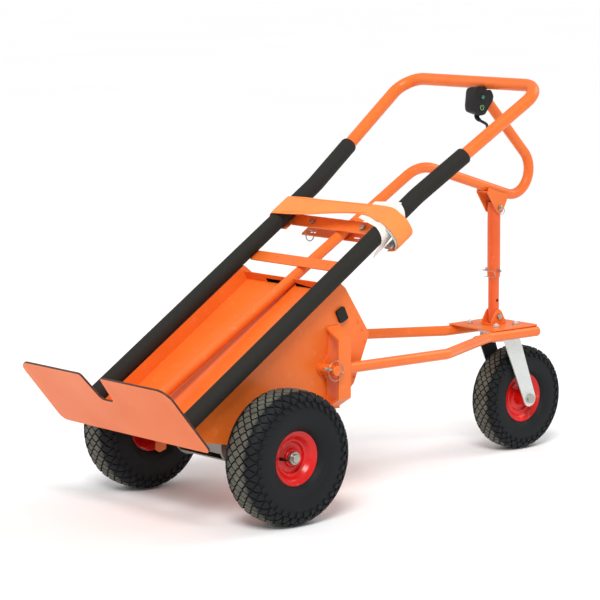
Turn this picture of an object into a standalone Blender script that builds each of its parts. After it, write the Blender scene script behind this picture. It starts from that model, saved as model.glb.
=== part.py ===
"""Powered hand truck with a swivelling rear castor: each part as its own solid, in metres, Z up."""
import math

import bmesh
import bpy
from mathutils import Matrix, Vector

# ---- driving dimensions (metres) ----
Y_SHIFT = -0.3844         # puts the origin under the middle of the whole truck
TILT = math.radians(33.123)   # side tubes above the horizontal, standing on three wheels
FOOT_Y = -0.2532          # where the tube plane meets the toe plate
FOOT_Z = 0.2148
PLATE_TILT = math.radians(6.75)   # toe plate leans this much past square to the tubes
PLATE_S = 0.0062          # underside of the toe plate on the tube plane
GAP = 0.0003

WHEEL_R = 0.150
WHEEL_HALF = 0.050
TRACK_HALF = 0.254
AXLE_R = 0.010

CASTOR_R = 0.130
CASTOR_HALF = 0.037
SWIVEL_Y = 0.896
TRAIL = 0.087

TUBE_R = 0.015
SLEEVE_R = 0.020
SPINE_R = 0.0125
ARM_R = 0.0125
TUBE_X = 0.175
SPLAY_S = 0.853
SPLAY = math.tan(math.radians(7.73))
HANDLE_S = 1.285
HANDLE_N = 0.0044
SLEEVE_END_S = 1.013

PANEL_X = 0.160           # outer face of the housing side panels
PANEL_T = 0.003
FACE_N = -0.048           # front face of the recessed front panel

STUD_Y = 0.183
STUD_Z = 0.312
STUD_R = 0.012

ARM_X = 0.187
ARM_IN_X = 0.072
PLATE_Z = 0.3218
PLATE_T = 0.004

TOP_PIVOT = (0.8965, 0.611)
BASE_PIVOT = (0.899, 0.341)
PIN_UP = 0.114            # lock pin above the base pivot, along the prop

T = Vector((0.0, math.cos(TILT), math.sin(TILT)))
N = Vector((0.0, -math.sin(TILT), math.cos(TILT)))
FOOT = Vector((0.0, FOOT_Y, FOOT_Z))
SHIFT = Vector((0.0, Y_SHIFT, 0.0))

COLOURS = {
    "orange": (0.87, 0.16, 0.02, 1.0),
    "red": (0.70, 0.015, 0.01, 1.0),
    "rubber": (0.02, 0.02, 0.02, 1.0),
    "sleeve": (0.04, 0.04, 0.035, 1.0),
    "plastic": (0.03, 0.03, 0.03, 1.0),
    "zinc": (0.62, 0.63, 0.62, 1.0),
    "steel": (0.42, 0.41, 0.40, 1.0),
    "strap": (0.90, 0.25, 0.06, 1.0),
    "lining": (0.85, 0.82, 0.80, 1.0),
}


def on_frame(x, s, n):
    """Point x across, s up the tubes from the toe plate and n above the tube plane."""
    return FOOT + T * s + N * n + Vector((x, 0.0, 0.0))


def material(slot, key):
    mat = bpy.data.materials.new(slot)
    mat.use_nodes = True
    bsdf = mat.node_tree.nodes["Principled BSDF"]
    bsdf.inputs["Base Color"].default_value = COLOURS[key]
    bsdf.inputs["Roughness"].default_value = 0.45
    bsdf.inputs["Metallic"].default_value = 1.0 if key in ("zinc", "steel") else 0.0
    return mat


def finish(name, bm, key, pivot=None, smooth=False):
    """Turn a bmesh in truck coordinates into a named object with its origin on pivot."""
    bmesh.ops.remove_doubles(bm, verts=bm.verts, dist=1e-6)
    bmesh.ops.recalc_face_normals(bm, faces=bm.faces)
    origin = (Vector(pivot) if pivot is not None else Vector((0.0, 0.0, 0.0))) + SHIFT
    bmesh.ops.translate(bm, verts=bm.verts, vec=SHIFT - origin)
    mesh = bpy.data.meshes.new(name)
    bm.to_mesh(mesh)
    bm.free()
    obj = bpy.data.objects.new(name, mesh)
    obj.location = origin
    bpy.context.scene.collection.objects.link(obj)
    obj.data.materials.append(material(name, key))
    if smooth:
        for poly in mesh.polygons:
            poly.use_smooth = True
    return obj


def add_loop_solid(bm, rings, closed=False):
    """Skin a list of equal point rings into a closed body; closed joins last ring to first."""
    verts = [[bm.verts.new(p) for p in ring] for ring in rings]
    count = len(verts[0])
    last = len(verts) if closed else len(verts) - 1
    for i in range(last):
        a = verts[i]
        b = verts[(i + 1) % len(verts)]
        for j in range(count):
            k = (j + 1) % count
            bm.faces.new((a[j], a[k], b[k], b[j]))
    if not closed:
        bm.faces.new(verts[0])
        bm.faces.new(verts[-1])


def axes_for(direction):
    """Two unit vectors square to direction."""
    ref = Vector((1.0, 0.0, 0.0))
    if abs(direction.dot(ref)) > 0.9:
        ref = Vector((0.0, 0.0, 1.0))
    u = direction.cross(ref).normalized()
    return u, direction.cross(u).normalized()


def fillet_path(points, radii, steps=5):
    """Polyline with each inner corner replaced by an arc of the given radius."""
    pts = [Vector(p) for p in points]
    out = [pts[0]]
    for i in range(1, len(pts) - 1):
        a = (pts[i - 1] - pts[i]).normalized()
        b = (pts[i + 1] - pts[i]).normalized()
        turn = math.pi - a.angle(b)
        radius = radii[i - 1]
        reach = radius * math.tan(turn / 2.0)
        centre = pts[i] + (a + b).normalized() * (radius / math.cos(turn / 2.0))
        start = pts[i] + a * reach - centre
        end = pts[i] + b * reach - centre
        axis = start.cross(end).normalized()
        count = max(1, round(steps * turn / 1.2))
        for k in range(count + 1):
            out.append(centre + Matrix.Rotation(turn * k / count, 3, axis) @ start)
    out.append(pts[-1])
    return out


def tube_rings(path, radius, segments, start_up=None):
    """Rings along a path, each square to the mean direction at its point."""
    tangents = []
    for i in range(len(path)):
        a = path[max(i - 1, 0)]
        b = path[i]
        c = path[min(i + 1, len(path) - 1)]
        before = (b - a).normalized() if i > 0 else (c - b).normalized()
        after = (c - b).normalized() if i < len(path) - 1 else before
        tangents.append((before + after).normalized())
    up = start_up if start_up is not None else axes_for(tangents[0])[0]
    rings = []
    for i, point in enumerate(path):
        tan = tangents[i]
        if i > 0:
            up = tangents[i - 1].rotation_difference(tan) @ up
        up = (up - tan * up.dot(tan)).normalized()
        side = tan.cross(up)
        before = (path[i] - path[i - 1]).normalized() if i > 0 else tan
        stretch = 1.0 / max(0.5, before.dot(tan))
        bend = side if stretch < 1.0001 else None
        ring = []
        for k in range(segments):
            ang = 2.0 * math.pi * k / segments
            ring.append(point + (up * math.cos(ang) + side * math.sin(ang)) * radius)
        if bend is None:
            flat = before - tan * before.dot(tan)
            flat.normalize()
            ring = [p + flat * ((p - point).dot(flat) * (stretch - 1.0)) for p in ring]
        rings.append(ring)
    return rings


def add_tube(bm, path, radius, wall, segments=14, start_up=None):
    """Open ended pipe along a path, or a solid rod when wall is zero."""
    outer = tube_rings(path, radius, segments, start_up)
    if wall <= 0.0:
        add_loop_solid(bm, outer)
        return
    inner = tube_rings(path, radius - wall, segments, start_up)
    add_loop_solid(bm, outer + inner[::-1], closed=True)


def add_lathe(bm, centre, axis, profile, segments=32, phase=0.0):
    """Closed body of revolution; profile is a closed list of (along axis, radius)."""
    axis = Vector(axis).normalized()
    u = Vector((0.0, 0.0, -1.0)) if abs(axis.z) < 0.5 else Vector((1.0, 0.0, 0.0))
    v = axis.cross(u)
    centre = Vector(centre)
    on_axis = any(r < 1e-9 for _, r in profile)
    columns = []
    for k in range(segments):
        ang = 2.0 * math.pi * k / segments + phase
        radial = u * math.cos(ang) + v * math.sin(ang)
        columns.append([centre + axis * a + radial * r for a, r in profile])
    if not on_axis:
        add_loop_solid(bm, columns, closed=True)
        return
    body = [(a, r) for a, r in profile if r > 1e-9]
    rings = []
    for a, r in body:
        rings.append([centre + axis * a + (u * math.cos(2.0 * math.pi * k / segments + phase)
                      + v * math.sin(2.0 * math.pi * k / segments + phase)) * r
                      for k in range(segments)])
    add_loop_solid(bm, rings)


def add_rod(bm, start, end, radius, segments=12):
    start = Vector(start)
    end = Vector(end)
    length = (end - start).length
    add_lathe(bm, start, end - start, [(0.0, 0.0), (0.0, radius), (length, radius), (length, 0.0)],
              segments)


def add_prism(bm, outline, base, u, v, depth):
    """Extrude a 2D outline laid out on axes u, v at base by the vector depth."""
    base = Vector(base)
    u = Vector(u)
    v = Vector(v)
    depth = Vector(depth)
    low = [base + u * a + v * b for a, b in outline]
    high = [p + depth for p in low]
    add_loop_solid(bm, [low, high])


def add_box(bm, low, high):
    outline = [(low[1], low[2]), (high[1], low[2]), (high[1], high[2]), (low[1], high[2])]
    add_prism(bm, outline, (low[0], 0.0, 0.0), (0, 1, 0), (0, 0, 1), (high[0] - low[0], 0.0, 0.0))


def add_ring(bm, centre, normal, radius, wire, segments=16, sides=6):
    """A closed wire ring."""
    normal = Vector(normal).normalized()
    u, v = axes_for(normal)
    rings = []
    for k in range(segments):
        ang = 2.0 * math.pi * k / segments
        radial = u * math.cos(ang) + v * math.sin(ang)
        ring = []
        for j in range(sides):
            phi = 2.0 * math.pi * j / sides
            ring.append(Vector(centre) + radial * (radius + wire * math.cos(phi))
                        + normal * (wire * math.sin(phi)))
        rings.append(ring)
    add_loop_solid(bm, rings, closed=True)


def rounded(points, radii, steps=4):
    """2D outline with rounded corners."""
    out = []
    count = len(points)
    for i in range(count):
        p = Vector(points[i] + (0.0,))
        a = (Vector(points[i - 1] + (0.0,)) - p).normalized()
        b = (Vector(points[(i + 1) % count] + (0.0,)) - p).normalized()
        radius = radii[i]
        if radius <= 0.0:
            out.append((p.x, p.y))
            continue
        turn = math.pi - a.angle(b)
        reach = radius * math.tan(turn / 2.0)
        centre = p + (a + b).normalized() * (radius / math.cos(turn / 2.0))
        start = p + a * reach - centre
        end = p + b * reach - centre
        sign = 1.0 if start.cross(end).z > 0.0 else -1.0
        for k in range(steps + 1):
            q = centre + Matrix.Rotation(sign * turn * k / steps, 3, "Z") @ start
            out.append((q.x, q.y))
    return out


def thicken(points, width):
    """Closed 2D band: the open polyline and its copy offset to the left by width."""
    pts = [Vector(p + (0.0,)) for p in points]
    side = []
    for i in range(len(pts)):
        before = (pts[i] - pts[i - 1]).normalized() if i > 0 else (pts[1] - pts[0]).normalized()
        after = (pts[i + 1] - pts[i]).normalized() if i < len(pts) - 1 else before
        mean = (before + after).normalized()
        normal = Vector((-mean.y, mean.x, 0.0))
        stretch = 1.0 / max(0.35, before.dot(mean))
        side.append(pts[i] + normal * (width * stretch))
    return [(p.x, p.y) for p in pts] + [(p.x, p.y) for p in side[::-1]]


def combine(target, tools, operation):
    """Apply each tool bmesh (truck coordinates) to target with exact booleans."""
    for bm in tools:
        bmesh.ops.recalc_face_normals(bm, faces=bm.faces)
        bmesh.ops.translate(bm, verts=bm.verts, vec=SHIFT)
        mesh = bpy.data.meshes.new("tool")
        bm.to_mesh(mesh)
        bm.free()
        tool = bpy.data.objects.new("tool", mesh)
        bpy.context.scene.collection.objects.link(tool)
        tool.hide_render = True
        tool.display_type = "WIRE"
        mod = target.modifiers.new("combine", "BOOLEAN")
        mod.operation = operation
        mod.solver = "EXACT"
        mod.object = tool
        bpy.context.view_layer.update()
        graph = bpy.context.evaluated_depsgraph_get()
        result = bpy.data.meshes.new_from_object(target.evaluated_get(graph))
        target.modifiers.remove(mod)
        old = target.data
        target.data = result
        bpy.data.meshes.remove(old)
        bpy.data.objects.remove(tool)
        bpy.data.meshes.remove(mesh)


def cut(target, tools):
    combine(target, tools, "DIFFERENCE")


def join(target, tools):
    combine(target, tools, "UNION")


def rod_cutter(start, end, radius, segments=16):
    bm = bmesh.new()
    add_rod(bm, start, end, radius, segments)
    return bm


def yz(point, x=0.0):
    return Vector((x, point[0], point[1]))


def plate_top_s(n):
    """Distance up the tubes of the toe plate's upper face, at height n."""
    return PLATE_S + 0.005 / math.cos(PLATE_TILT) - n * math.tan(PLATE_TILT)


def side_x(s):
    return TUBE_X + max(0.0, s - SPLAY_S) * SPLAY


# ---- frame ----
def handle_tube():
    low = plate_top_s(-TUBE_R) + GAP
    corner = [on_frame(-TUBE_X, low, 0), on_frame(-TUBE_X, SPLAY_S, 0),
              on_frame(-side_x(HANDLE_S), HANDLE_S, HANDLE_N),
              on_frame(side_x(HANDLE_S), HANDLE_S, HANDLE_N),
              on_frame(TUBE_X, SPLAY_S, 0), on_frame(TUBE_X, low, 0)]
    path = fillet_path(corner, [0.20, 0.055, 0.055, 0.20], 5)
    bm = bmesh.new()
    add_tube(bm, path, TUBE_R, 0.002, 12, N)
    return finish("handle_tube", bm, "orange", smooth=True)


def sleeve(name, side):
    low = plate_top_s(-SLEEVE_R) + GAP
    points = [on_frame(side * TUBE_X, low, 0), on_frame(side * TUBE_X, SPLAY_S, 0)]
    share = (SLEEVE_END_S - SPLAY_S) / (HANDLE_S - SPLAY_S)
    points.append(on_frame(side * side_x(SLEEVE_END_S), SLEEVE_END_S, HANDLE_N * share))
    path = fillet_path(points, [0.20], 5)
    bm = bmesh.new()
    outer = tube_rings(path, SLEEVE_R, 16, N)
    inner = tube_rings(path, TUBE_R + 0.0006, 16, N)
    add_loop_solid(bm, outer + inner[::-1], closed=True)
    return finish(name, bm, "sleeve", smooth=True)


def spine_point(s):
    return on_frame(0.0, s, -0.0076 - 0.0455 * s)


def spine_tube():
    start = spine_point(0.0152)
    corner_a = yz((0.6422, 0.7324))
    corner_b = yz((1.1684, 0.5726))
    bar = on_frame(0.0, HANDLE_S, HANDLE_N)
    away = (bar - yz((0.9812, 0.7618))).normalized()
    end = bar - away * (TUBE_R + 2 * GAP)
    path = fillet_path([start, corner_a, corner_b, end], [0.112, 0.0595], 4)
    bm = bmesh.new()
    add_tube(bm, path, SPINE_R, 0.002, 10, Vector((1.0, 0.0, 0.0)))
    return finish("spine_tube", bm, "orange", smooth=True)


def toe_plate():
    half = 0.264
    rear = -0.040
    front = 0.150
    points = [(-half, rear), (half, rear), (half, front), (0.036, front), (0.022, 0.072),
              (-0.022, 0.072), (-0.036, front), (-half, front)]
    outline = rounded(points, [0.018, 0.018, 0.032, 0.008, 0.012, 0.012, 0.008, 0.032], 4)
    v_axis = N * math.cos(PLATE_TILT) - T * math.sin(PLATE_TILT)
    up = T * math.cos(PLATE_TILT) + N * math.sin(PLATE_TILT)
    bm = bmesh.new()
    add_prism(bm, outline, on_frame(0, PLATE_S, 0), (1, 0, 0), v_axis, up * 0.005)
    return finish("toe_plate", bm, "orange")


def lower_cross_bar():
    bm = bmesh.new()
    add_prism(bm, [(-0.1650, 0.590), (0.1650, 0.590), (0.1650, 0.623), (-0.1650, 0.623)],
              on_frame(0, 0, -0.0212), (1, 0, 0), T, N * 0.0030)
    obj = finish("lower_cross_bar", bm, "orange")
    tools = []
    for x in (-0.088, 0.088):
        tools.append(rod_cutter(on_frame(x, 0.609, -0.03), on_frame(x, 0.609, -0.01), 0.0026, 10))
    cut(obj, tools)
    return obj


def upper_bar_axes():
    lean = math.radians(20.0)
    face = N * math.cos(lean) - T * math.sin(lean)
    across = T * math.cos(lean) + N * math.sin(lean)
    return across, face


def upper_cross_bar():
    across, face = upper_bar_axes()
    base = on_frame(0, 0.7445, -0.0200)
    bm = bmesh.new()
    outline = [(-0.1540, -0.0150), (0.1540, -0.0150), (0.1540, 0.0150), (-0.1540, 0.0150)]
    add_prism(bm, outline, base, (1, 0, 0), across, face * 0.004)
    obj = finish("upper_cross_bar", bm, "orange")
    tools = []
    for x in (-0.086, 0.086):
        a = base + Vector((x, 0, 0)) - face * 0.01
        tools.append(rod_cutter(a, a + face * 0.02, 0.0045, 12))
    cut(obj, tools)
    return obj


def strap_plate():
    """Slotted plate behind the spine, bolted to the upper cross bar."""
    across, face = upper_bar_axes()
    bm = bmesh.new()
    outline = rounded([(-0.150, 0.738), (0.045, 0.738), (0.058, 0.754), (0.058, 0.770),
                       (-0.150, 0.770)], [0.004, 0.004, 0.004, 0.004, 0.004], 2)
    add_prism(bm, outline, on_frame(0, 0, -0.0595), (1, 0, 0), T, N * 0.003)
    obj = finish("strap_plate", bm, "orange")
    tools = []
    for x in (-0.118, 0.034):
        bm = bmesh.new()
        add_prism(bm, [(x - 0.011, 0.7475), (x + 0.011, 0.7475), (x + 0.011, 0.7535),
                       (x - 0.011, 0.7535)],
                  on_frame(0, 0, -0.070), (1, 0, 0), T, N * 0.02)
        tools.append(bm)
    cut(obj, tools)
    return obj


def bracket_bolt(name, x):
    """Hexagon bolt through the upper cross bar, with its nut behind."""
    across, face = upper_bar_axes()
    centre = on_frame(x, 0.7445, -0.0200) + face * 0.002
    profile = [(-0.0085, 0.0), (-0.0085, 0.0065), (-0.0023, 0.0065), (-0.0023, 0.0042),
               (0.0023, 0.0042), (0.0023, 0.0075), (0.0078, 0.0075), (0.0078, 0.0)]
    bm = bmesh.new()
    add_lathe(bm, centre, face, profile, 12)
    return finish(name, bm, "zinc")


# ---- housing ----
def panel_outline():
    front_low = on_frame(0, 0.0160, -0.0360)
    front_top = on_frame(0, 0.0134, -0.0142)
    top = on_frame(0, 0.5630, -0.0142)
    step = on_frame(0, 0.5750, -0.0500)
    points = [(front_top.y, front_top.z), (front_low.y, front_low.z), (-0.1684, 0.1903),
              (-0.0907, 0.1741), (-0.036, 0.121), (0.036, 0.121), (0.120, 0.1800),
              (0.2712, 0.2571), (0.2826, 0.2670), (0.3297, 0.3764), (step.y, step.z),
              (top.y, top.z)]
    return rounded(points, [0.0, 0.0, 0.0, 0.02, 0.02, 0.02, 0.03, 0.006, 0.006, 0.010,
                            0.010, 0.004], 3)


def side_panel(name, side):
    bm = bmesh.new()
    inner = PANEL_X - PANEL_T
    add_prism(bm, panel_outline(), (side * inner, 0, 0), (0, 1, 0), (0, 0, 1),
              (side * PANEL_T, 0, 0))
    obj = finish(name, bm, "orange")
    tools = [rod_cutter((side * 0.15, 0, WHEEL_R), (side * 0.17, 0, WHEEL_R), 0.0174, 16)]
    cut(obj, tools)
    return obj


def housing_wrap():
    """Folded sheet that closes the housing's top, back and underside."""
    start = on_frame(0, 0.5735, FACE_N - 0.0015)
    points = [(start.y, start.z), (0.3283, 0.3761), (0.2817, 0.2680), (0.2704, 0.2580),
              (0.1210, 0.1850), (0.052, 0.1862)]
    path = fillet_path([yz(p) for p in points], [0.010, 0.006, 0.006, 0.02], 5)
    band = thicken([(p.y, p.z) for p in path][::-1], 0.002)
    bm = bmesh.new()
    width = PANEL_X - PANEL_T - GAP
    add_prism(bm, band, (-width, 0, 0), (0, 1, 0), (0, 0, 1), (2 * width, 0, 0))
    return finish("housing_wrap", bm, "orange")


def front_panel():
    """Recessed front sheet with a turned-out top edge, notched around the spine."""
    width = PANEL_X - PANEL_T - GAP
    bm = bmesh.new()
    back = FACE_N - 0.002
    outline = [(0.060, back), (0.5700, back), (0.5700, FACE_N), (0.5560, FACE_N),
               (0.5560, -0.026), (0.5540, -0.026), (0.5540, FACE_N), (0.058, FACE_N),
               (0.108, FACE_N - 0.070), (0.110, FACE_N - 0.070)]
    add_prism(bm, outline, on_frame(-width, 0, 0), T, N, (2 * width, 0, 0))
    obj = finish("front_panel", bm, "orange")
    tool = bmesh.new()
    add_prism(tool, [(-0.0145, 0.548), (0.0145, 0.548), (0.0145, 0.56), (-0.0145, 0.56)],
              on_frame(0, 0, FACE_N + 0.0002), (1, 0, 0), T, N * 0.04)
    cut(obj, [tool])
    return obj


def drive_motor():
    """Motor can with a stepped gearbox at one end, lying across the housing."""
    bm = bmesh.new()
    profile = [(-0.120, 0.0), (-0.120, 0.024), (-0.112, 0.028), (-0.070, 0.028), (-0.068, 0.035),
               (0.080, 0.035), (0.082, 0.024), (0.120, 0.024), (0.120, 0.0)]
    add_lathe(bm, (0, -0.0367, 0.2310), (1, 0, 0), profile, 16)
    return finish("drive_motor", bm, "steel", smooth=False)


def axle_beam():
    """Folded channel with a round bearing flange and a carrier tube at each end."""
    z_low = 0.1165
    outline = [(-0.030, 0.130), (-0.027, 0.130), (-0.027, 0.180), (0.027, 0.180),
               (0.027, z_low + 0.003), (-0.030, z_low + 0.003), (-0.030, z_low),
               (0.030, z_low), (0.030, 0.183), (-0.030, 0.183)]
    bm = bmesh.new()
    add_prism(bm, outline, (-0.0760, 0, 0), (0, 1, 0), (0, 0, 1), (0.152, 0, 0))
    obj = finish("axle_beam", bm, "steel")
    ends = []
    for side in (-1, 1):
        profile = [(0.0755, 0.0103), (0.0755, 0.045), (0.0825, 0.045), (0.0835, 0.030),
                   (0.0835, 0.017), (0.2000, 0.017), (0.2000, 0.0103)]
        bm = bmesh.new()
        add_lathe(bm, (0, 0, WHEEL_R), (side, 0, 0), profile, 20)
        ends.append(bm)
    join(obj, ends)
    return obj


def axle_shaft():
    """Axle with a nut tightened on each end."""
    bm = bmesh.new()
    profile = [(-0.2860, 0.0), (-0.2860, AXLE_R - 0.001), (-0.2850, AXLE_R), (-0.2800, AXLE_R),
               (-0.2800, 0.0140), (-0.2785, 0.0150), (-0.2713, 0.0150), (-0.2713, AXLE_R)]
    profile += [(-a, r) for a, r in profile[::-1]]
    add_lathe(bm, (0, 0, WHEEL_R), (1, 0, 0), profile, 24)
    return finish("axle_shaft", bm, "steel")


def axle_tab():
    """Small bracket with an eye, hanging from the right-hand flange."""
    bm = bmesh.new()
    outline = rounded([(-0.016, 0.099), (-0.004, 0.092), (0.015, 0.098), (0.015, 0.1325),
                       (-0.006, 0.1325), (-0.014, 0.116)],
                      [0.005, 0.005, 0.004, 0.0, 0.0, 0.004], 2)
    add_prism(bm, outline, (-0.1920, 0, 0), (0, 1, 0), (0, 0, 1), (0.004, 0, 0))
    return finish("axle_tab", bm, "orange")


# ---- wheels ----
def tyre_profile(radius, half, bead):
    """Closed tyre section: tread, shoulders, side walls and the open inside."""
    outer = [(-0.62 * half, bead), (-0.98 * half, radius * 0.70), (-0.97 * half, radius * 0.88),
             (-0.72 * half, radius * 0.970), (0.0, radius), (0.72 * half, radius * 0.970),
             (0.97 * half, radius * 0.88), (0.98 * half, radius * 0.70), (0.62 * half, bead)]
    inner = [(0.48 * half, bead), (0.80 * half, radius * 0.76), (0.0, radius * 0.925),
             (-0.80 * half, radius * 0.76), (-0.48 * half, bead)]
    return outer + inner


def rim_profile(side, lip_r, lip_x, bore, hub_r, hub, web_x):
    """Closed rim section: hub, dished web, well and the two rolled lips."""
    t = 0.0022
    points = [(-hub[0], bore), (hub[1], bore), (hub[1], hub_r), (web_x + t, hub_r),
              (web_x + t, lip_r - 0.026), (lip_x - 0.012, lip_r - 0.012), (lip_x, lip_r),
              (lip_x - t, lip_r), (lip_x - 0.014, lip_r - 0.009), (-lip_x + 0.014, lip_r - 0.009),
              (-lip_x + t, lip_r), (-lip_x, lip_r), (-lip_x + 0.012, lip_r - 0.012),
              (web_x - 0.004, lip_r - 0.0125), (web_x, lip_r - 0.026 - t), (web_x, hub_r),
              (-hub[0], hub_r)]
    return [(side * a, r) for a, r in points]


def wheel(prefix, x, y, z, radius, half, side, segments, bore):
    axis = (1, 0, 0)
    pivot = (x, y, z)
    lip_r = 0.059
    lip_x = 0.028 if radius > 0.14 else 0.024
    bm = bmesh.new()
    add_lathe(bm, pivot, axis, tyre_profile(radius, half, lip_r + 0.0012), segments)
    tyre = finish(prefix + "_tyre", bm, "rubber", pivot, smooth=True)
    bm = bmesh.new()
    hub = (0.034, 0.0165) if radius > 0.14 else (0.0425, 0.0425)
    add_lathe(bm, pivot, axis, rim_profile(side, lip_r, lip_x, bore, 0.019, hub, 0.004), 24)
    rim = finish(prefix + "_rim", bm, "red", pivot, smooth=False)
    return tyre, rim


def valve(prefix, x, side):
    """Rubber valve stem standing out of the dished rim."""
    bm = bmesh.new()
    centre = (x + side * 0.0066, -0.026, WHEEL_R - 0.0005)
    profile = [(0.0, 0.0), (0.0, 0.0040), (0.010, 0.0036), (0.012, 0.0024), (0.024, 0.0024),
               (0.024, 0.0)]
    add_lathe(bm, centre, (side, 0, 0), profile, 8)
    return finish(prefix + "_valve", bm, "plastic", (x, 0, WHEEL_R))


# ---- rear support ----
def pivot_stud(name, side):
    bm = bmesh.new()
    add_lathe(bm, (side * (PANEL_X + GAP), STUD_Y, STUD_Z), (side, 0, 0),
              [(0.0, 0.0), (0.0, STUD_R), (0.0527, STUD_R), (0.0542, STUD_R - 0.0015),
               (0.0542, 0.0)], 24)
    obj = finish(name, bm, "orange")
    cut(obj, [rod_cutter(linch_point(side, -0.03), linch_point(side, 0.03), 0.0032, 10)])
    return obj


LINCH_DIR = Vector((0.0, 0.9648, -0.2630))
LINCH_UP = Vector((0.0, 0.2630, 0.9648))
LINCH_X = 0.2083


def linch_point(side, along):
    return Vector((side * LINCH_X, STUD_Y, STUD_Z)) + LINCH_DIR * along


def linch_pin(name, side):
    """Cross pin through the stud, with a domed head on its rear end."""
    bm = bmesh.new()
    start = linch_point(side, -0.0380)
    add_lathe(bm, start, LINCH_DIR,
              [(0.0, 0.0), (0.0, 0.0016), (0.003, 0.0026), (0.0530, 0.0026),
               (0.0530, 0.0036), (0.0600, 0.0036), (0.0615, 0.0022), (0.0615, 0.0)], 12)
    return finish(name, bm, "zinc", linch_point(side, 0.0190))


def linch_ring(name, side):
    """Wire ring hinged on the head of a cross pin and closed round the stud."""
    bm = bmesh.new()
    centre = linch_point(side, -0.0035) + Vector((side * 0.0042, 0.0, 0.0))
    points = []
    for k in range(15):
        ang = math.radians(17.0 + 326.0 * k / 14)
        points.append(centre + LINCH_DIR * (0.0225 * math.cos(ang))
                      + LINCH_UP * (0.0225 * math.sin(ang)))
    add_loop_solid(bm, tube_rings(points, 0.0010, 5, Vector((1.0, 0.0, 0.0))))
    return finish(name, bm, "zinc", linch_point(side, 0.0190), smooth=True)


def arm_path(side):
    points = [(side * ARM_X, 0.2010, 0.3100), (side * ARM_X, 0.5525, 0.3071),
              (side * ARM_IN_X, 0.8045, 0.3051), (side * ARM_IN_X, 0.9780, 0.3037)]
    return fillet_path(points, [0.030, 0.030], 4)


def support_arm(name, side):
    bm = bmesh.new()
    add_tube(bm, arm_path(side), ARM_R, 0.0018, 12, Vector((0.0, 0.0, 1.0)))
    return finish(name, bm, "orange", smooth=True)


def arm_bracket(name, side):
    """Pivot plate with a folded hat strip across it, welded round the arm's front end."""
    x_in = PANEL_X + 0.0006
    x_web = x_in + 0.0040
    hat = [(x_in, 0.2180), (x_in, 0.2240), (0.1996, 0.2480), (0.1996, 0.3770),
           (x_in, 0.3990), (x_in, 0.4050), (0.2040, 0.3800), (0.2040, 0.2450)]
    strip = bmesh.new()
    add_prism(strip, [(side * a, b) for a, b in hat], (0, 0.1960, 0), (1, 0, 0), (0, 0, 1),
              (0, 0.0370, 0))
    web = [(0.2020, 0.4055), (0.2350, 0.4055), (0.2350, 0.2160), (0.1960, 0.2160),
           (0.1985, 0.2565), (0.1945, 0.2880)]
    for k in range(8):
        ang = math.radians(285.0 - 30.0 * k)
        web.append((STUD_Y + 0.0152 * math.cos(ang), STUD_Z + 0.0152 * math.sin(ang)))
    web += [(0.1985, 0.3380), (0.2030, 0.3800)]
    plate = bmesh.new()
    add_prism(plate, web, (side * x_in, 0, 0), (0, 1, 0), (0, 0, 1), (side * (x_web - x_in), 0, 0))
    obj = finish(name, plate, "orange")
    join(obj, [strip])
    cut(obj, [rod_cutter((side * 0.15, STUD_Y, STUD_Z), (side * 0.18, STUD_Y, STUD_Z),
                         STUD_R + 0.00018, 24)])
    return obj


def castor_plate():
    bm = bmesh.new()
    outline = rounded([(-0.0775, 0.8195), (0.0775, 0.8195), (0.0775, 0.9750), (-0.0775, 0.9750)],
                      [0.003] * 4, 2)
    add_prism(bm, outline, (0, 0, PLATE_Z - PLATE_T), (1, 0, 0), (0, 1, 0), (0, 0, PLATE_T))
    obj = finish("castor_plate", bm, "orange")
    tools = []
    for x in (-0.045, 0.045):
        for y in (SWIVEL_Y - 0.034, SWIVEL_Y + 0.034):
            tools.append(rod_cutter((x, y, 0.31), (x, y, 0.33), 0.0043, 10))
    cut(obj, tools)
    return obj


def base_clevis():
    """Two rounded ears standing on one foot."""
    foot_z = PLATE_Z + GAP
    bm = bmesh.new()
    half_in = 0.0142
    half_out = 0.0176
    outline = [(-half_out, foot_z), (half_out, foot_z), (half_out, 0.3600), (half_in, 0.3600),
               (half_in, foot_z + 0.003), (-half_in, foot_z + 0.003), (-half_in, 0.3600),
               (-half_out, 0.3600)]
    mid = BASE_PIVOT[0]
    add_prism(bm, outline, (0, mid - 0.026, 0), (1, 0, 0), (0, 0, 1), (0, 0.052, 0))
    obj = finish("base_clevis", bm, "orange")
    tools = []
    for sign in (-1, 1):
        points = [(mid + sign * 0.0265, foot_z + 0.004), (mid + sign * 0.0120, 0.3520),
                  (mid + sign * 0.0060, 0.3580), (mid + sign * 0.0, 0.3590),
                  (mid + sign * 0.0, 0.3700), (mid + sign * 0.05, 0.3700),
                  (mid + sign * 0.05, foot_z + 0.004)]
        tool = bmesh.new()
        add_prism(tool, points, (-0.03, 0, 0), (0, 1, 0), (0, 0, 1), (0.06, 0, 0))
        tools.append(tool)
    tools.append(rod_cutter((-0.03, mid, BASE_PIVOT[1]), (0.03, mid, BASE_PIVOT[1]), 0.0044, 16))
    cut(obj, tools)
    return obj


def base_bolt():
    bm = bmesh.new()
    add_lathe(bm, (0, BASE_PIVOT[0], BASE_PIVOT[1]), (1, 0, 0),
              [(-0.0270, 0.0), (-0.0270, 0.0040), (-0.0250, 0.0040), (-0.0250, 0.0070),
               (-0.0186, 0.0070), (-0.0186, 0.0040), (0.0186, 0.0040), (0.0186, 0.0070),
               (0.0236, 0.0070), (0.0236, 0.0)], 12)
    return finish("base_bolt", bm, "zinc")


def prop_dir():
    return (yz(TOP_PIVOT) - yz(BASE_PIVOT)).normalized()


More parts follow.
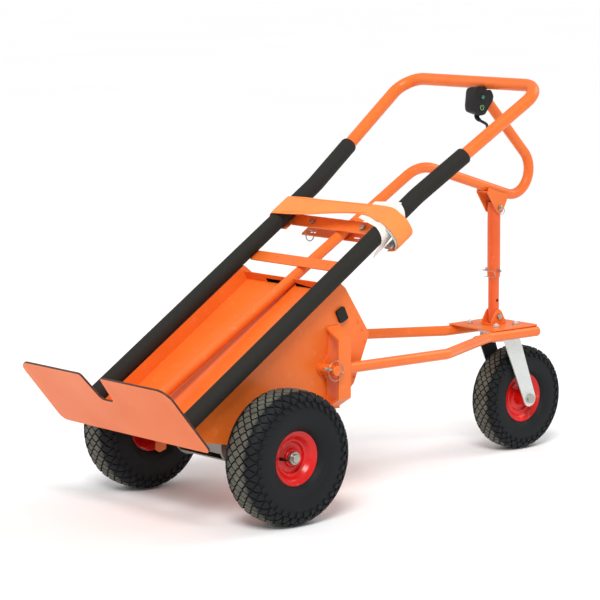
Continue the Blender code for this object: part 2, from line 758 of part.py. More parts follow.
def prop_lower():
    """Inner tube with a slot at its top that rests on the lock pin."""
    d = prop_dir()
    base = yz(BASE_PIVOT)
    bm = bmesh.new()
    add_tube(bm, [base - d * 0.0140, base + d * 0.2150], 0.0135, 0.0020, 16,
             Vector((1.0, 0.0, 0.0)))
    obj = finish("prop_lower", bm, "orange", base, smooth=True)
    tools = [rod_cutter(base - Vector((0.02, 0, 0)), base + Vector((0.02, 0, 0)), 0.0041, 16)]
    pin = base + d * PIN_UP
    side = Vector((1.0, 0.0, 0.0)).cross(d)
    tool = bmesh.new()
    add_prism(tool, [(-0.0044, -0.0043), (0.0044, -0.0043), (0.0044, 0.12), (-0.0044, 0.12)],
              pin - Vector((0.02, 0, 0)), side, d, (0.04, 0, 0))
    tools.append(tool)
    hole = base + d * 0.0400
    tools.append(rod_cutter(hole - Vector((0.02, 0, 0)), hole + Vector((0.02, 0, 0)), 0.0042, 12))
    cut(obj, tools)
    return obj


def prop_upper():
    """Outer tube of the prop, hung from the loop clevis."""
    d = prop_dir()
    base = yz(BASE_PIVOT)
    top = yz(TOP_PIVOT)
    bm = bmesh.new()
    add_tube(bm, [base + d * 0.0980, top + d * 0.0140], 0.0160, 0.0020, 16,
             Vector((1.0, 0.0, 0.0)))
    obj = finish("prop_upper", bm, "orange", top, smooth=True)
    pin = base + d * PIN_UP
    tools = [rod_cutter(pin - Vector((0.02, 0, 0)), pin + Vector((0.02, 0, 0)), 0.0041, 16),
             rod_cutter(top - Vector((0.02, 0, 0)), top + Vector((0.02, 0, 0)), 0.0068, 16)]
    cut(obj, tools)
    return obj


def lock_pin():
    """Cross pin through both prop tubes, with a collar at its hinge end."""
    pin = yz(BASE_PIVOT) + prop_dir() * PIN_UP
    bm = bmesh.new()
    add_lathe(bm, pin, (1, 0, 0),
              [(-0.0265, 0.0), (-0.0265, 0.0030), (-0.0255, 0.0052), (-0.0195, 0.0052),
               (-0.0195, 0.0038), (0.0205, 0.0038), (0.0245, 0.0026), (0.0245, 0.0)], 16)
    return finish("lock_pin", bm, "zinc", pin)


def lock_bow():
    """Wire bow hinged beside the lock pin's collar, lying in front of the tube."""
    d = prop_dir()
    side = Vector((1.0, 0.0, 0.0)).cross(d)
    pin = yz(BASE_PIVOT) + d * PIN_UP
    front = -side if side.y > 0 else side
    hinge = pin + Vector((-0.0225, 0, 0)) + front * 0.0068
    corners = []
    for along, out, up in ((-0.0225, 0.0068, 0.0), (-0.0225, 0.0185, 0.0),
                           (0.0225, 0.0185, 0.0), (0.0225, 0.0185, -0.0150),
                           (-0.0160, 0.0185, -0.0150)):
        corners.append(pin + Vector((along, 0, 0)) + front * out + d * up)
    path = fillet_path(corners, [0.004, 0.004, 0.004], 3)
    bm = bmesh.new()
    add_tube(bm, path, 0.0009, 0.0, 6, Vector((1.0, 0.0, 0.0)))
    return finish("lock_bow", bm, "zinc", hinge, smooth=True)


def loop_clevis():
    """Inverted channel welded under the loop, with ears for the prop."""
    bm = bmesh.new()
    along = Vector((0.0, 0.9568, -0.2907))
    down = Vector((0.0, -0.2907, -0.9568))
    base = yz((0.9045, 0.6527))
    depth_a = SPINE_R + GAP
    half_in = 0.0167
    half_out = 0.0199
    outline = [(-half_out, 0.004), (-half_in, 0.004), (-half_in, depth_a), (half_in, depth_a),
               (half_in, 0.004), (half_out, 0.004), (half_out, 0.060), (half_in, 0.060),
               (half_in, depth_a + 0.003), (-half_in, depth_a + 0.003), (-half_in, 0.060),
               (-half_out, 0.060)]
    add_prism(bm, outline, base - along * 0.047, (1, 0, 0), down, along * 0.070)
    obj = finish("loop_clevis", bm, "orange")
    top = yz(TOP_PIVOT)
    tools = []
    for sign, reach in ((-1, 0.047), (1, 0.023)):
        tool = bmesh.new()
        tip = top + Vector((0.0, 0.0, -0.0145))
        lip = base + along * (sign * reach) + down * (depth_a + 0.0045)
        far = lip + along * (sign * 0.03)
        points = [(lip.y, lip.z), (top.y + sign * 0.0135, top.z - 0.0040),
                  (top.y + sign * 0.0085, top.z - 0.0115), (tip.y, tip.z),
                  (tip.y, tip.z - 0.03), (far.y, tip.z - 0.03), (far.y, far.z)]
        add_prism(tool, points, (-0.03, 0, 0), (0, 1, 0), (0, 0, 1), (0.06, 0, 0))
        tools.append(tool)
    tools.append(rod_cutter(top - Vector((0.03, 0, 0)), top + Vector((0.03, 0, 0)), 0.0041, 16))
    cut(obj, tools)
    return obj


def top_pin():
    """Clevis pin with a pull ring through its head."""
    top = yz(TOP_PIVOT)
    bm = bmesh.new()
    add_lathe(bm, top, (1, 0, 0),
              [(-0.0250, 0.0), (-0.0250, 0.0026), (-0.0230, 0.0038), (0.0203, 0.0038),
               (0.0203, 0.0062), (0.0240, 0.0062), (0.0260, 0.0034), (0.0260, 0.0)], 16)
    return finish("top_pin", bm, "zinc", top)


def pull_ring():
    bm = bmesh.new()
    top = yz(TOP_PIVOT)
    add_ring(bm, top + Vector((0.0275, 0.0, -0.0068)), (1, 0, 0), 0.0088, 0.0008, 14, 5)
    return finish("pull_ring", bm, "zinc", top + Vector((0.0275, 0, 0)), smooth=True)


# ---- castor ----
def castor_fork():
    """Swivel head, bridge and two swept-back legs in one pressing."""
    axle_y = SWIVEL_Y + TRAIL
    leg = rounded([(0.8890, 0.2866), (0.9450, 0.2866), (1.0085, 0.1195), (0.9725, 0.1045)],
                  [0.004, 0.010, 0.0185, 0.0185], 5)
    half_in = 0.0440
    half_out = 0.0475
    bm = bmesh.new()
    add_prism(bm, leg, (half_in, 0, 0), (0, 1, 0), (0, 0, 1), (half_out - half_in, 0, 0))
    obj = finish("castor_fork", bm, "zinc", (0, SWIVEL_Y, 0.29))
    other = bmesh.new()
    add_prism(other, leg, (-half_out, 0, 0), (0, 1, 0), (0, 0, 1), (half_out - half_in, 0, 0))
    bridge = bmesh.new()
    shape = rounded([(-0.0330, 0.8560), (0.0330, 0.8560), (half_out, 0.8860), (half_out, 0.9440),
                     (-half_out, 0.9440), (-half_out, 0.8860)],
                    [0.020, 0.020, 0.0, 0.0, 0.0, 0.0], 3)
    add_prism(bridge, shape, (0, 0, 0.2830), (1, 0, 0), (0, 1, 0), (0, 0, 0.0036))
    head = bmesh.new()
    add_lathe(head, (0, SWIVEL_Y, 0), (0, 0, 1),
              [(0.2860, 0.0), (0.2860, 0.0320), (0.2960, 0.0320), (0.3000, 0.0280),
               (0.3000, 0.0)], 20)
    join(obj, [other, bridge, head])
    cut(obj, [rod_cutter((-0.06, axle_y, CASTOR_R), (0.06, axle_y, CASTOR_R), 0.0083, 24)])
    return obj


def castor_head():
    """Fixed half of the swivel: race, square flange and the four bolts up through the plate."""
    low = 0.3003
    top = PLATE_Z - PLATE_T - GAP
    bm = bmesh.new()
    add_lathe(bm, (0, SWIVEL_Y, 0), (0, 0, 1),
              [(low, 0.0), (low, 0.0310), (low + 0.005, 0.0360), (top - 0.001, 0.0360),
               (top - 0.001, 0.0)], 20)
    obj = finish("castor_head", bm, "zinc")
    flange = bmesh.new()
    add_prism(flange, rounded([(-0.0560, SWIVEL_Y - 0.044), (0.0560, SWIVEL_Y - 0.044),
                               (0.0560, SWIVEL_Y + 0.044), (-0.0560, SWIVEL_Y + 0.044)],
                              [0.008] * 4, 2),
              (0, 0, top - 0.0028), (1, 0, 0), (0, 1, 0), (0, 0, 0.0028))
    tools = [flange]
    for x in (-0.045, 0.045):
        for y in (SWIVEL_Y - 0.034, SWIVEL_Y + 0.034):
            bolt = bmesh.new()
            add_lathe(bolt, (x, y, 0), (0, 0, 1),
                      [(top - 0.0010, 0.0), (top - 0.0010, 0.0039), (PLATE_Z + GAP, 0.0039),
                       (PLATE_Z + GAP, 0.0075), (PLATE_Z + 0.0062, 0.0075),
                       (PLATE_Z + 0.0062, 0.0039), (PLATE_Z + 0.0090, 0.0035),
                       (PLATE_Z + 0.0090, 0.0)], 12)
            tools.append(bolt)
    join(obj, tools)
    return obj


def castor_axle():
    bm = bmesh.new()
    add_lathe(bm, (0, SWIVEL_Y + TRAIL, CASTOR_R), (1, 0, 0),
              [(-0.0545, 0.0), (-0.0545, 0.0115), (-0.0478, 0.0115), (-0.0478, 0.0080),
               (0.0478, 0.0080), (0.0478, 0.0115), (0.0545, 0.0115), (0.0545, 0.0)], 24)
    return finish("castor_axle", bm, "zinc", (0, SWIVEL_Y + TRAIL, CASTOR_R))


# ---- controls ----
POD_Y = 0.808
POD_Z = 0.874
POD_X = (0.0158, 0.0500)
POD_SHAPE = [(-0.0400, -0.0080), (-0.0385, -0.0235), (-0.0170, -0.0305), (-0.0030, -0.0285),
             (0.0230, 0.0030), (0.0262, 0.0150), (0.0170, 0.0300), (0.0030, 0.0305),
             (-0.0040, 0.0385), (-0.0350, 0.0400)]
CABLE_S = 1.105
POD_ROUND = [0.004, 0.012, 0.010, 0.010, 0.014, 0.012, 0.008, 0.004, 0.006, 0.012]


def control_body():
    bm = bmesh.new()
    outline = rounded(POD_SHAPE, POD_ROUND, 3)
    rings = []
    for x, grow in ((POD_X[0], 0.80), (POD_X[0] + 0.004, 0.90), (POD_X[0] + 0.014, 0.96),
                    (POD_X[1], 0.96)):
        rings.append([Vector((x, POD_Y + a * grow, POD_Z + b * grow)) for a, b in outline])
    add_loop_solid(bm, rings)
    return finish("control_body", bm, "plastic", smooth=False)


def control_face():
    """Lobed cover plate with two recessed button seats."""
    bm = bmesh.new()
    outline = rounded(POD_SHAPE, POD_ROUND, 3)
    start = POD_X[1] + GAP
    add_prism(bm, outline, (start, POD_Y, POD_Z), (0, 1, 0), (0, 0, 1), (0.0050, 0, 0))
    obj = finish("control_face", bm, "plastic")
    tools = []
    for y, z in BUTTONS:
        tools.append(rod_cutter((start + 0.0020, y, z), (start + 0.02, y, z), 0.0095, 20))
    cut(obj, tools)
    return obj


BUTTONS = [(POD_Y - 0.0118, 0.8874), (POD_Y - 0.0146, 0.8630)]


def button(name, index):
    y, z = BUTTONS[index]
    bm = bmesh.new()
    start = POD_X[1] + GAP + 0.0020 + 0.0014
    add_lathe(bm, (start, y, z), (1, 0, 0),
              [(0.0, 0.0), (0.0, 0.0091), (0.0021, 0.0091), (0.0027, 0.0083), (0.0027, 0.0)], 20)
    return finish(name, bm, "plastic", (start, y, z))


def control_cable():
    """Strain relief and cable, from the pod to the side tube."""
    wall = on_frame(side_x(CABLE_S), CABLE_S, 0.0026)
    into = Vector((-0.749, 0.663, -0.05))
    along = (on_frame(side_x(1.2), 1.2, 0.0035) - wall).normalized()
    into = (into - along * into.dot(along)).normalized()
    end = wall + into * (TUBE_R + 0.0010)
    points = [Vector((0.0360, POD_Y - 0.0110, 0.8436)), Vector((0.0360, POD_Y - 0.0110, 0.8392)),
              Vector((0.0400, POD_Y - 0.0118, 0.8350)), Vector((0.0520, POD_Y - 0.0135, 0.8305)),
              Vector((0.0760, POD_Y - 0.0190, 0.8240)), Vector((0.1100, 0.7580, 0.8180)),
              Vector((0.1500, 0.7220, 0.8150)), end + into * 0.020, end]
    radii = [0.0066, 0.0062, 0.0050, 0.0038, 0.0035, 0.0035, 0.0035, 0.0035, 0.0035]
    bm = bmesh.new()
    path = []
    sizes = []
    for i in range(len(points) - 1):
        a = points[max(i - 1, 0)]
        b = points[i]
        c = points[i + 1]
        e = points[min(i + 2, len(points) - 1)]
        for k in range(3):
            t = k / 3.0
            q = 0.5 * ((2 * b) + (c - a) * t + (2 * a - 5 * b + 4 * c - e) * t * t
                       + (3 * b - a - 3 * c + e) * t * t * t)
            path.append(q)
            sizes.append(radii[i] + (radii[i + 1] - radii[i]) * t)
    path.append(points[-1])
    sizes.append(radii[-1])
    rings = tube_rings(path, 1.0, 8)
    rings = [[path[i] + (p - path[i]) * sizes[i] for p in ring] for i, ring in enumerate(rings)]
    add_loop_solid(bm, rings)
    return finish("control_cable", bm, "rubber", smooth=True)


# ---- charging socket ----
CHARGE = (0.2410, 0.4275)
CHARGE_TURN = math.radians(-64.0)


def charge_axes():
    u = Vector((0.0, math.cos(CHARGE_TURN), math.sin(CHARGE_TURN)))
    v = Vector((0.0, -math.sin(CHARGE_TURN), math.cos(CHARGE_TURN)))
    return u, v


def charge_socket():
    u, v = charge_axes()
    bm = bmesh.new()
    outline = rounded([(-0.0155, -0.0125), (0.0155, -0.0125), (0.0155, 0.0125), (-0.0155, 0.0125)],
                      [0.003] * 4, 2)
    base = yz(CHARGE, PANEL_X + GAP)
    add_prism(bm, outline, base, u, v, (0.0040, 0, 0))
    obj = finish("charge_socket", bm, "plastic")
    cut(obj, [rod_cutter(base + Vector((0.0012, 0, 0)), base + Vector((0.02, 0, 0)), 0.0085, 14)])
    return obj


def charge_flap():
    u, v = charge_axes()
    bm = bmesh.new()
    outline = rounded([(-0.0160, -0.0130), (0.0160, -0.0130), (0.0160, 0.0130), (-0.0160, 0.0130)],
                      [0.007, 0.007, 0.003, 0.003], 2)
    base = yz(CHARGE, PANEL_X + GAP + 0.0043)
    add_prism(bm, outline, base, u, v, (0.0028, 0, 0))
    return finish("charge_flap", bm, "plastic", base + v * 0.0130)


# ---- strap ----
def strap_solid(bm, line, thick):
    """Webbing along (x, n, low s, high s) stations, thick outward of the line."""
    pts = [Vector((a[0], a[1], 0.0)) for a in line]
    rings = []
    for i in range(len(pts)):
        before = (pts[i] - pts[i - 1]).normalized() if i > 0 else (pts[1] - pts[0]).normalized()
        after = (pts[i + 1] - pts[i]).normalized() if i < len(pts) - 1 else before
        mean = (before + after).normalized()
        normal = Vector((-mean.y, mean.x, 0.0))
        offset = pts[i] + normal * (thick / max(0.5, before.dot(mean)))
        low, high = line[i][2], line[i][3]
        rings.append([on_frame(pts[i].x, low, pts[i].y), on_frame(offset.x, low, offset.y),
                      on_frame(offset.x, high, offset.y), on_frame(pts[i].x, high, pts[i].y)])
    add_loop_solid(bm, rings)


# (x, n, low s, high s) where the strap rolls over the near grip
ROLL = [(0.1640, 0.0232, 0.7295, 0.7795), (0.1780, 0.0229, 0.7270, 0.7775),
        (0.1910, 0.0184, 0.7245, 0.7755), (0.1995, 0.0090, 0.7235, 0.7745),
        (0.2050, -0.0020, 0.7240, 0.7770), (0.2085, -0.0130, 0.7230, 0.7765),
        (0.2105, -0.0240, 0.7225, 0.7755), (0.2105, -0.0345, 0.7200, 0.7740),
        (0.2065, -0.0425, 0.7170, 0.7710), (0.1970, -0.0470, 0.7130, 0.7680),
        (0.1760, -0.0480, 0.7110, 0.7660)]


def strap_band():
    r = SLEEVE_R + 0.0016
    line = [(-0.1565, -r, 0.712, 0.770), (-0.176, -r, 0.712, 0.772)]
    for ang in (258, 234, 210, 186, 162, 138, 114, 94):
        a = math.radians(ang)
        line.append((-0.1755 + r * math.cos(a), r * math.sin(a), 0.713, 0.778))
    line += [(-0.120, r + 0.0006, 0.716, 0.7800), (-0.060, r + 0.0012, 0.722, 0.7790),
             (0.000, r + 0.0012, 0.7340, 0.7800), (0.060, r + 0.0012, 0.7430, 0.7810),
             (0.112, r + 0.0012, 0.7450, 0.7820), (0.145, r + 0.0014, 0.7370, 0.7810)]
    line += ROLL
    bm = bmesh.new()
    strap_solid(bm, line, 0.0022)
    return finish("strap_band", bm, "strap", smooth=False)


def strap_lining():
    r = SLEEVE_R + 0.0003
    line = [(0.100, r, 0.735, 0.796)]
    for ang in (92, 70, 50, 30, 10, -10, -30, -50):
        a = math.radians(ang)
        drop = 0.020 * (92 - ang) / 142.0
        line.append((0.1755 + r * math.cos(a), r * math.sin(a), 0.712 - drop, 0.803 - drop * 1.3))
    line += [(0.1800, -0.0265, 0.676, 0.735), (0.1750, -0.0360, 0.668, 0.706)]
    bm = bmesh.new()
    strap_solid(bm, line, 0.0010)
    return finish("strap_lining", bm, "lining", smooth=False)


def strap_buckle():
    """Cam buckle between the band and the sleeve."""
    bm = bmesh.new()
    base = on_frame(0.1985, 0.7330, -0.0320)
    across = Vector((1.0, 0.0, 0.0))
    outline = rounded([(-0.0150, -0.0030), (-0.0060, -0.0030), (0.0050, -0.0030), (0.0050, 0.0012),
                       (-0.0150, 0.0012)], [0.001, 0.0, 0.001, 0.001, 0.001], 2)
    add_prism(bm, outline, base - T * 0.030, across, N, T * 0.046)
    return finish("strap_buckle", bm, "zinc")


def strap_ring():
    bm = bmesh.new()
    centre = on_frame(-0.118, 0.7380, -0.0580)
    add_ring(bm, centre, (1, 0, 0), 0.0125, 0.0016, 18, 6)
    return finish("strap_ring", bm, "zinc", smooth=True)


def build():
    for obj in list(bpy.data.objects):
        bpy.data.objects.remove(obj)
    handle_tube()
    sleeve("left_sleeve", 1)
    sleeve("right_sleeve", -1)
    spine_tube()
    toe_plate()
    lower_cross_bar()
    upper_cross_bar()
    strap_plate()
    bracket_bolt("left_bracket_bolt", 0.086)
    bracket_bolt("right_bracket_bolt", -0.086)
    side_panel("left_side_panel", 1)
    side_panel("right_side_panel", -1)
    housing_wrap()
    front_panel()
    drive_motor()
    axle_beam()
    axle_shaft()
    axle_tab()
    wheel("left", TRACK_HALF, 0.0, WHEEL_R, WHEEL_R, WHEEL_HALF, 1, 32, 0.01006)
    wheel("right", -TRACK_HALF, 0.0, WHEEL_R, WHEEL_R, WHEEL_HALF, -1, 32, 0.01006)
    valve("left", TRACK_HALF, 1)
    valve("right", -TRACK_HALF, -1)
    pivot_stud("left_pivot_stud", 1)
    pivot_stud("right_pivot_stud", -1)
    linch_pin("left_linch_pin", 1)
    linch_pin("right_linch_pin", -1)
    linch_ring("left_linch_ring", 1)
    linch_ring("right_linch_ring", -1)
    support_arm("left_arm", 1)
    support_arm("right_arm", -1)
    arm_bracket("left_arm_bracket", 1)
    arm_bracket("right_arm_bracket", -1)
    castor_plate()
    base_clevis()
    base_bolt()
    prop_lower()
    prop_upper()
    lock_pin()
    lock_bow()
    loop_clevis()
    top_pin()
    pull_ring()
    castor_fork()
    castor_head()
    castor_axle()
    wheel("castor", 0.0, SWIVEL_Y + TRAIL, CASTOR_R, CASTOR_R, CASTOR_HALF, 1, 32, 0.00806)
    control_body()
    control_face()
    button("speed_button", 0)
    button("power_button", 1)
    control_cable()
    charge_socket()
    charge_flap()
    strap_band()
    strap_lining()
    strap_buckle()
    strap_ring()


build()
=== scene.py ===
# %% [markdown]
# A powered hand truck: an orange tube frame on two fat tyres, with a castor behind it on two
# long arms.
# The imported solids are the frame that everything below hangs on.

# %% Load the imported solids
import math
import bmesh
import bpy
from mathutils import Matrix, Vector


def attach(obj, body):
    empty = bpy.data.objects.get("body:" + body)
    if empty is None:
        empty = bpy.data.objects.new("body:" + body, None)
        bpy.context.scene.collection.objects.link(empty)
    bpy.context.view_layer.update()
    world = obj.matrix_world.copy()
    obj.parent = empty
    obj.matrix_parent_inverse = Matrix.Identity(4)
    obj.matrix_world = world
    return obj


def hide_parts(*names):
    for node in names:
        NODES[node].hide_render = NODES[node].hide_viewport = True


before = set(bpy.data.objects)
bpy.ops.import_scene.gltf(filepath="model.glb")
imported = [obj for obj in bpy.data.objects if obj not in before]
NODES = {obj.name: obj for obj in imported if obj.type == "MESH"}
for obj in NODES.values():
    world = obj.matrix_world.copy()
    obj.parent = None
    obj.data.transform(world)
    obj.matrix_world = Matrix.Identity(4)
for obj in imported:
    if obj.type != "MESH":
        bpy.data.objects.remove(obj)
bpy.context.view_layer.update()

# %% [markdown]
# The truck is drawn in its own directions: x across, s up along the side tubes from the toe plate,
# and n square to them on the load's side. Keeping these three numbers in the script, and turning
# them into metres in one function, is shorter than working out slanted positions by hand.

# %% Driving sizes and directions
Y_SHIFT = -0.3844
TILT = math.radians(33.123)
T = Vector((0.0, math.cos(TILT), math.sin(TILT)))
N = Vector((0.0, -math.sin(TILT), math.cos(TILT)))
FOOT = Vector((0.0, -0.2532 + Y_SHIFT, 0.2148))
TUBE_X, SPLAY_S, SPLAY = 0.175, 0.853, math.tan(math.radians(7.73))
HANDLE_S, HANDLE_N = 1.285, 0.0044
TUBE_R, SPINE_R = 0.015, 0.0125
WHEEL_X, WHEEL_R, WHEEL_HALF = 0.254, 0.150, 0.050
CASTOR_R, CASTOR_HALF = 0.130, 0.037
BEAD_R = 0.0603
AXLE = Vector((0.0, Y_SHIFT, WHEEL_R))
CASTOR_AXLE = Vector((0.0, 0.983 + Y_SHIFT, CASTOR_R))


def on_frame(x, s, n):
    return FOOT + T * s + N * n + Vector((x, 0.0, 0.0))


def yz(y, z, x=0.0):
    return Vector((x, y + Y_SHIFT, z))


def side_x(s):
    return TUBE_X + max(0.0, s - SPLAY_S) * SPLAY


def square_to(vector, axis):
    """Unit vector: the part of vector that is square to axis."""
    return (vector - axis * vector.dot(axis)).normalized()


print("handle bar at", tuple(round(v, 3) for v in on_frame(0, HANDLE_S, HANDLE_N)))

# %% [markdown]
# Shader graphs are easier to read as sums than as lists of links, so a small wrapper lets node
# outputs be added and multiplied. Noise could be mixed by hand each time, but one class keeps
# every finish to a few lines and makes the recipes comparable.


# %% Node maths
class Sock:
    """One output socket that can be used in ordinary arithmetic."""

    def __init__(self, mat, socket):
        self.mat = mat
        self.socket = socket

    def _math(self, op, a, b):
        return self.mat.node("ShaderNodeMath", {"operation": op}, [a, b])

    def __add__(self, other):
        return self._math("ADD", self, other)

    def __radd__(self, other):
        return self._math("ADD", other, self)

    def __sub__(self, other):
        return self._math("SUBTRACT", self, other)

    def __rsub__(self, other):
        return self._math("SUBTRACT", other, self)

    def __mul__(self, other):
        return self._math("MULTIPLY", self, other)

    def __rmul__(self, other):
        return self._math("MULTIPLY", other, self)

    def __truediv__(self, other):
        return self._math("DIVIDE", self, other)

    def __rtruediv__(self, other):
        return self._math("DIVIDE", other, self)

    def __pow__(self, other):
        return self._math("POWER", self, other)

    def clamp(self, low, high):
        a = self._math("MAXIMUM", self, low)
        return a._math("MINIMUM", a, high)

    def step(self, low, high):
        """0 below low, 1 above high, straight between."""
        return ((self - low) / (high - low)).clamp(0.0, 1.0)

    def sin(self):
        return self.mat.node("ShaderNodeMath", {"operation": "SINE"}, [self])


class Mat:
    """A Principled material built from a few calls."""

    def __init__(self, name):
        self.data = bpy.data.materials.new(name)
        self.data.use_nodes = True
        self.tree = self.data.node_tree
        self.bsdf = self.tree.nodes["Principled BSDF"]

    def node(self, kind, props=None, inputs=None, out=0):
        new = self.tree.nodes.new(kind)
        for key, value in (props or {}).items():
            setattr(new, key, value)
        pairs = inputs.items() if isinstance(inputs, dict) else enumerate(inputs or [])
        for key, value in pairs:
            self.feed(new.inputs[key], value)
        return Sock(self, new.outputs[out])

    def feed(self, target, value):
        if isinstance(value, Sock):
            self.tree.links.new(value.socket, target)
        else:
            target.default_value = value

    def coords(self):
        return self.node("ShaderNodeTexCoord", out="Object")

    def uv(self):
        return self.node("ShaderNodeTexCoord", out="UV")

    def xyz(self, vector):
        parts = self.node("ShaderNodeSeparateXYZ", None, [vector])
        outs = parts.socket.node.outputs
        return [Sock(self, outs[i]) for i in range(3)]

    def noise(self, scale, detail=3.0, vector=None, stretch=None):
        vector = vector or self.coords()
        if stretch:
            vector = self.node("ShaderNodeVectorMath", {"operation": "MULTIPLY"},
                               [vector, stretch])
        return self.node("ShaderNodeTexNoise", None,
                         {"Vector": vector, "Scale": scale, "Detail": detail}, "Fac")

    def cells(self, scale):
        return self.node("ShaderNodeTexVoronoi", None,
                         {"Vector": self.coords(), "Scale": scale}, "Color")

    def blend(self, amount, a, b):
        mix = self.tree.nodes.new("ShaderNodeMix")
        mix.data_type = "RGBA"
        self.feed(mix.inputs[0], amount)
        self.feed(mix.inputs[6], a)
        self.feed(mix.inputs[7], b)
        return Sock(self, mix.outputs[2])

    def bump(self, height, strength, distance=0.001):
        return self.node("ShaderNodeBump", None,
                         {"Height": height, "Strength": strength, "Distance": distance})

    def set(self, **values):
        for key, value in values.items():
            self.feed(self.bsdf.inputs[key.replace("_", " ")], value)
        return self.data


def rgb(r, g, b):
    """Linear colour from 0 to 255 screen values."""
    out = []
    for v in (r, g, b):
        c = v / 255.0
        out.append(c / 12.92 if c <= 0.04045 else ((c + 0.055) / 1.055) ** 2.4)
    return (out[0], out[1], out[2], 1.0)


print("node maths ready")

# %% [markdown]
# Paint. Powder coat is thick and slightly dimpled, so its highlights break up at a fine grain, and
# dust dulls it in broad soft patches. The same recipe with other colours serves the enamelled
# rims and the darker batch of orange on the prop.


# %% Painted finishes
def paint(name, colour, dark, roughness=0.36, coat=0.14):
    m = Mat(name)
    patches = m.noise(7.0, 4.0).step(0.35, 0.75)
    grain = m.noise(900.0, 2.0)
    scuffs = m.noise(60.0, 6.0).step(0.60, 0.72)
    tone = m.blend(patches, colour, dark)
    return m.set(Base_Color=m.blend(scuffs * 0.10, tone, rgb(250, 190, 150)),
                 Roughness=roughness + patches * 0.08 + scuffs * 0.08,
                 Coat_Weight=coat - patches * 0.06, Coat_Roughness=0.22, Specular_IOR_Level=0.32,
                 Normal=m.bump(grain, 0.06, 0.0004))


ORANGE = paint("orange_paint", rgb(238, 116, 42), rgb(230, 106, 34))
PROP_ORANGE = paint("prop_paint", rgb(230, 98, 42), rgb(222, 88, 36))
RED = paint("red_enamel", rgb(212, 20, 15), rgb(184, 12, 10), 0.26, 0.22)
EDGE = paint("cut_edge", rgb(74, 44, 30), rgb(58, 34, 24), 0.5, 0.05)
print("paint:", ORANGE.name, PROP_ORANGE.name, RED.name)

# %% [markdown]
# Rubber and plastic. Tyre blocks pick up a grey bloom where they meet the floor, so the colour
# follows the distance from the axle. The grips are closed-cell foam: dark, matt and pitted.


# %% Rubber and plastic finishes
def tyre_rubber(name, centre, radius):
    m = Mat(name)
    y, z = m.xyz(m.coords())[1:]
    dy = y - centre.y
    dz = z - centre.z
    r = (dy * dy + dz * dz) ** 0.5
    tread = r.step(radius - 0.0034, radius - 0.0012)
    dust = m.noise(38.0, 5.0)
    base = m.blend(dust, rgb(12, 14, 16), rgb(24, 28, 30))
    worn = m.blend(dust, rgb(84, 84, 75), rgb(116, 115, 104))
    ring = r.step(radius * 0.775, radius * 0.785) - r.step(radius * 0.800, radius * 0.810)
    bead = r.step(radius * 0.520, radius * 0.530) - r.step(radius * 0.550, radius * 0.560)
    height = m.noise(420.0, 3.0) * 0.25 + ring + bead
    return m.set(Base_Color=m.blend(tread * (0.45 + dust * 0.7), base, worn),
                 Roughness=0.50 + dust * 0.22, Specular_IOR_Level=0.22,
                 Normal=m.bump(height, 0.6, 0.0008))


def matt(name, dark, light, scale, roughness, bump):
    m = Mat(name)
    grain = m.noise(scale, 4.0)
    return m.set(Base_Color=m.blend(grain.step(0.3, 0.7), dark, light),
                 Roughness=roughness + grain * 0.12, Specular_IOR_Level=0.25,
                 Normal=m.bump(grain, bump, 0.0006))


TYRE = tyre_rubber("tyre_rubber", AXLE, WHEEL_R)
CASTOR_TYRE = tyre_rubber("castor_rubber", CASTOR_AXLE, CASTOR_R)
FOAM = matt("grip_foam", rgb(30, 29, 26), rgb(42, 41, 37), 420.0, 0.72, 0.22)
BLACK = matt("black_plastic", rgb(18, 18, 19), rgb(30, 30, 30), 700.0, 0.46, 0.12)
CABLE = matt("cable_sheath", rgb(20, 20, 21), rgb(32, 32, 33), 500.0, 0.52, 0.10)
GREEN = matt("symbol_green", rgb(112, 168, 104), rgb(132, 186, 122), 300.0, 0.40, 0.05)
TEAL = matt("symbol_teal", rgb(70, 144, 122), rgb(86, 158, 136), 300.0, 0.40, 0.05)
print("rubber and plastic:", TYRE.name, FOAM.name, BLACK.name)

# %% [markdown]
# Bare metal. Hot-dip galvanising freezes in flat crystals, which voronoi cells copy well. Plated
# fasteners are cleaner and brighter, and the axle beam is plain steel with a dull mill skin. A dark
# copy of the zinc is painted shade for the inner faces of the castor fork legs.


# %% Metal finishes
def metal(name, low, high, scale, roughness, spangle=0.0):
    m = Mat(name)
    grain = m.noise(scale, 4.0, None, (1.0, 0.25, 1.0))
    tone = m.blend(grain, low, high)
    rough = roughness + grain * 0.16
    if spangle:
        flake = m.node("ShaderNodeSeparateColor", None, [m.cells(240.0)])
        tone = m.blend(flake * spangle, tone, rgb(196, 202, 202))
        rough = rough + flake * 0.14
    return m.set(Base_Color=tone, Roughness=rough, Metallic=0.92,
                 Normal=m.bump(grain, 0.05, 0.0003))


GALVANISED = metal("galvanised", rgb(214, 219, 217), rgb(228, 231, 229), 90.0, 0.42, 0.15)
# Painted shade: a dark copy of the zinc that stands in for the shade on the inner faces of the
# castor fork legs.
FORK_SHADE = metal("fork_inner_painted_shade", rgb(52, 54, 56), rgb(66, 68, 70), 90.0, 0.6)
ZINC = metal("zinc_plate", rgb(150, 148, 138), rgb(186, 184, 174), 160.0, 0.26)
STEEL = metal("mill_steel", rgb(136, 132, 127), rgb(168, 164, 158), 120.0, 0.42)
print("metal:", GALVANISED.name, ZINC.name, STEEL.name)

# %% [markdown]
# Cloth. The strap is plain-woven webbing, so two sine waves across its own length and width give
# the ribs; its lining is white felt, which has no direction and only a soft fuzz.


# %% Cloth finishes
def webbing(name, colour, dark):
    m = Mat(name)
    u, v = m.xyz(m.uv())[:2]
    rib = (u * 2600.0).sin() * 0.5 + 0.5
    warp = (v * 4200.0).sin() * 0.5 + 0.5
    weave = rib * 0.65 + warp * 0.35
    soft = m.noise(14.0, 4.0)
    tone = m.blend(soft, colour, dark)
    return m.set(Base_Color=m.blend(weave * 0.22, tone, rgb(255, 176, 110)),
                 Roughness=0.74 + weave * 0.16, Normal=m.bump(weave, 0.35, 0.0006))


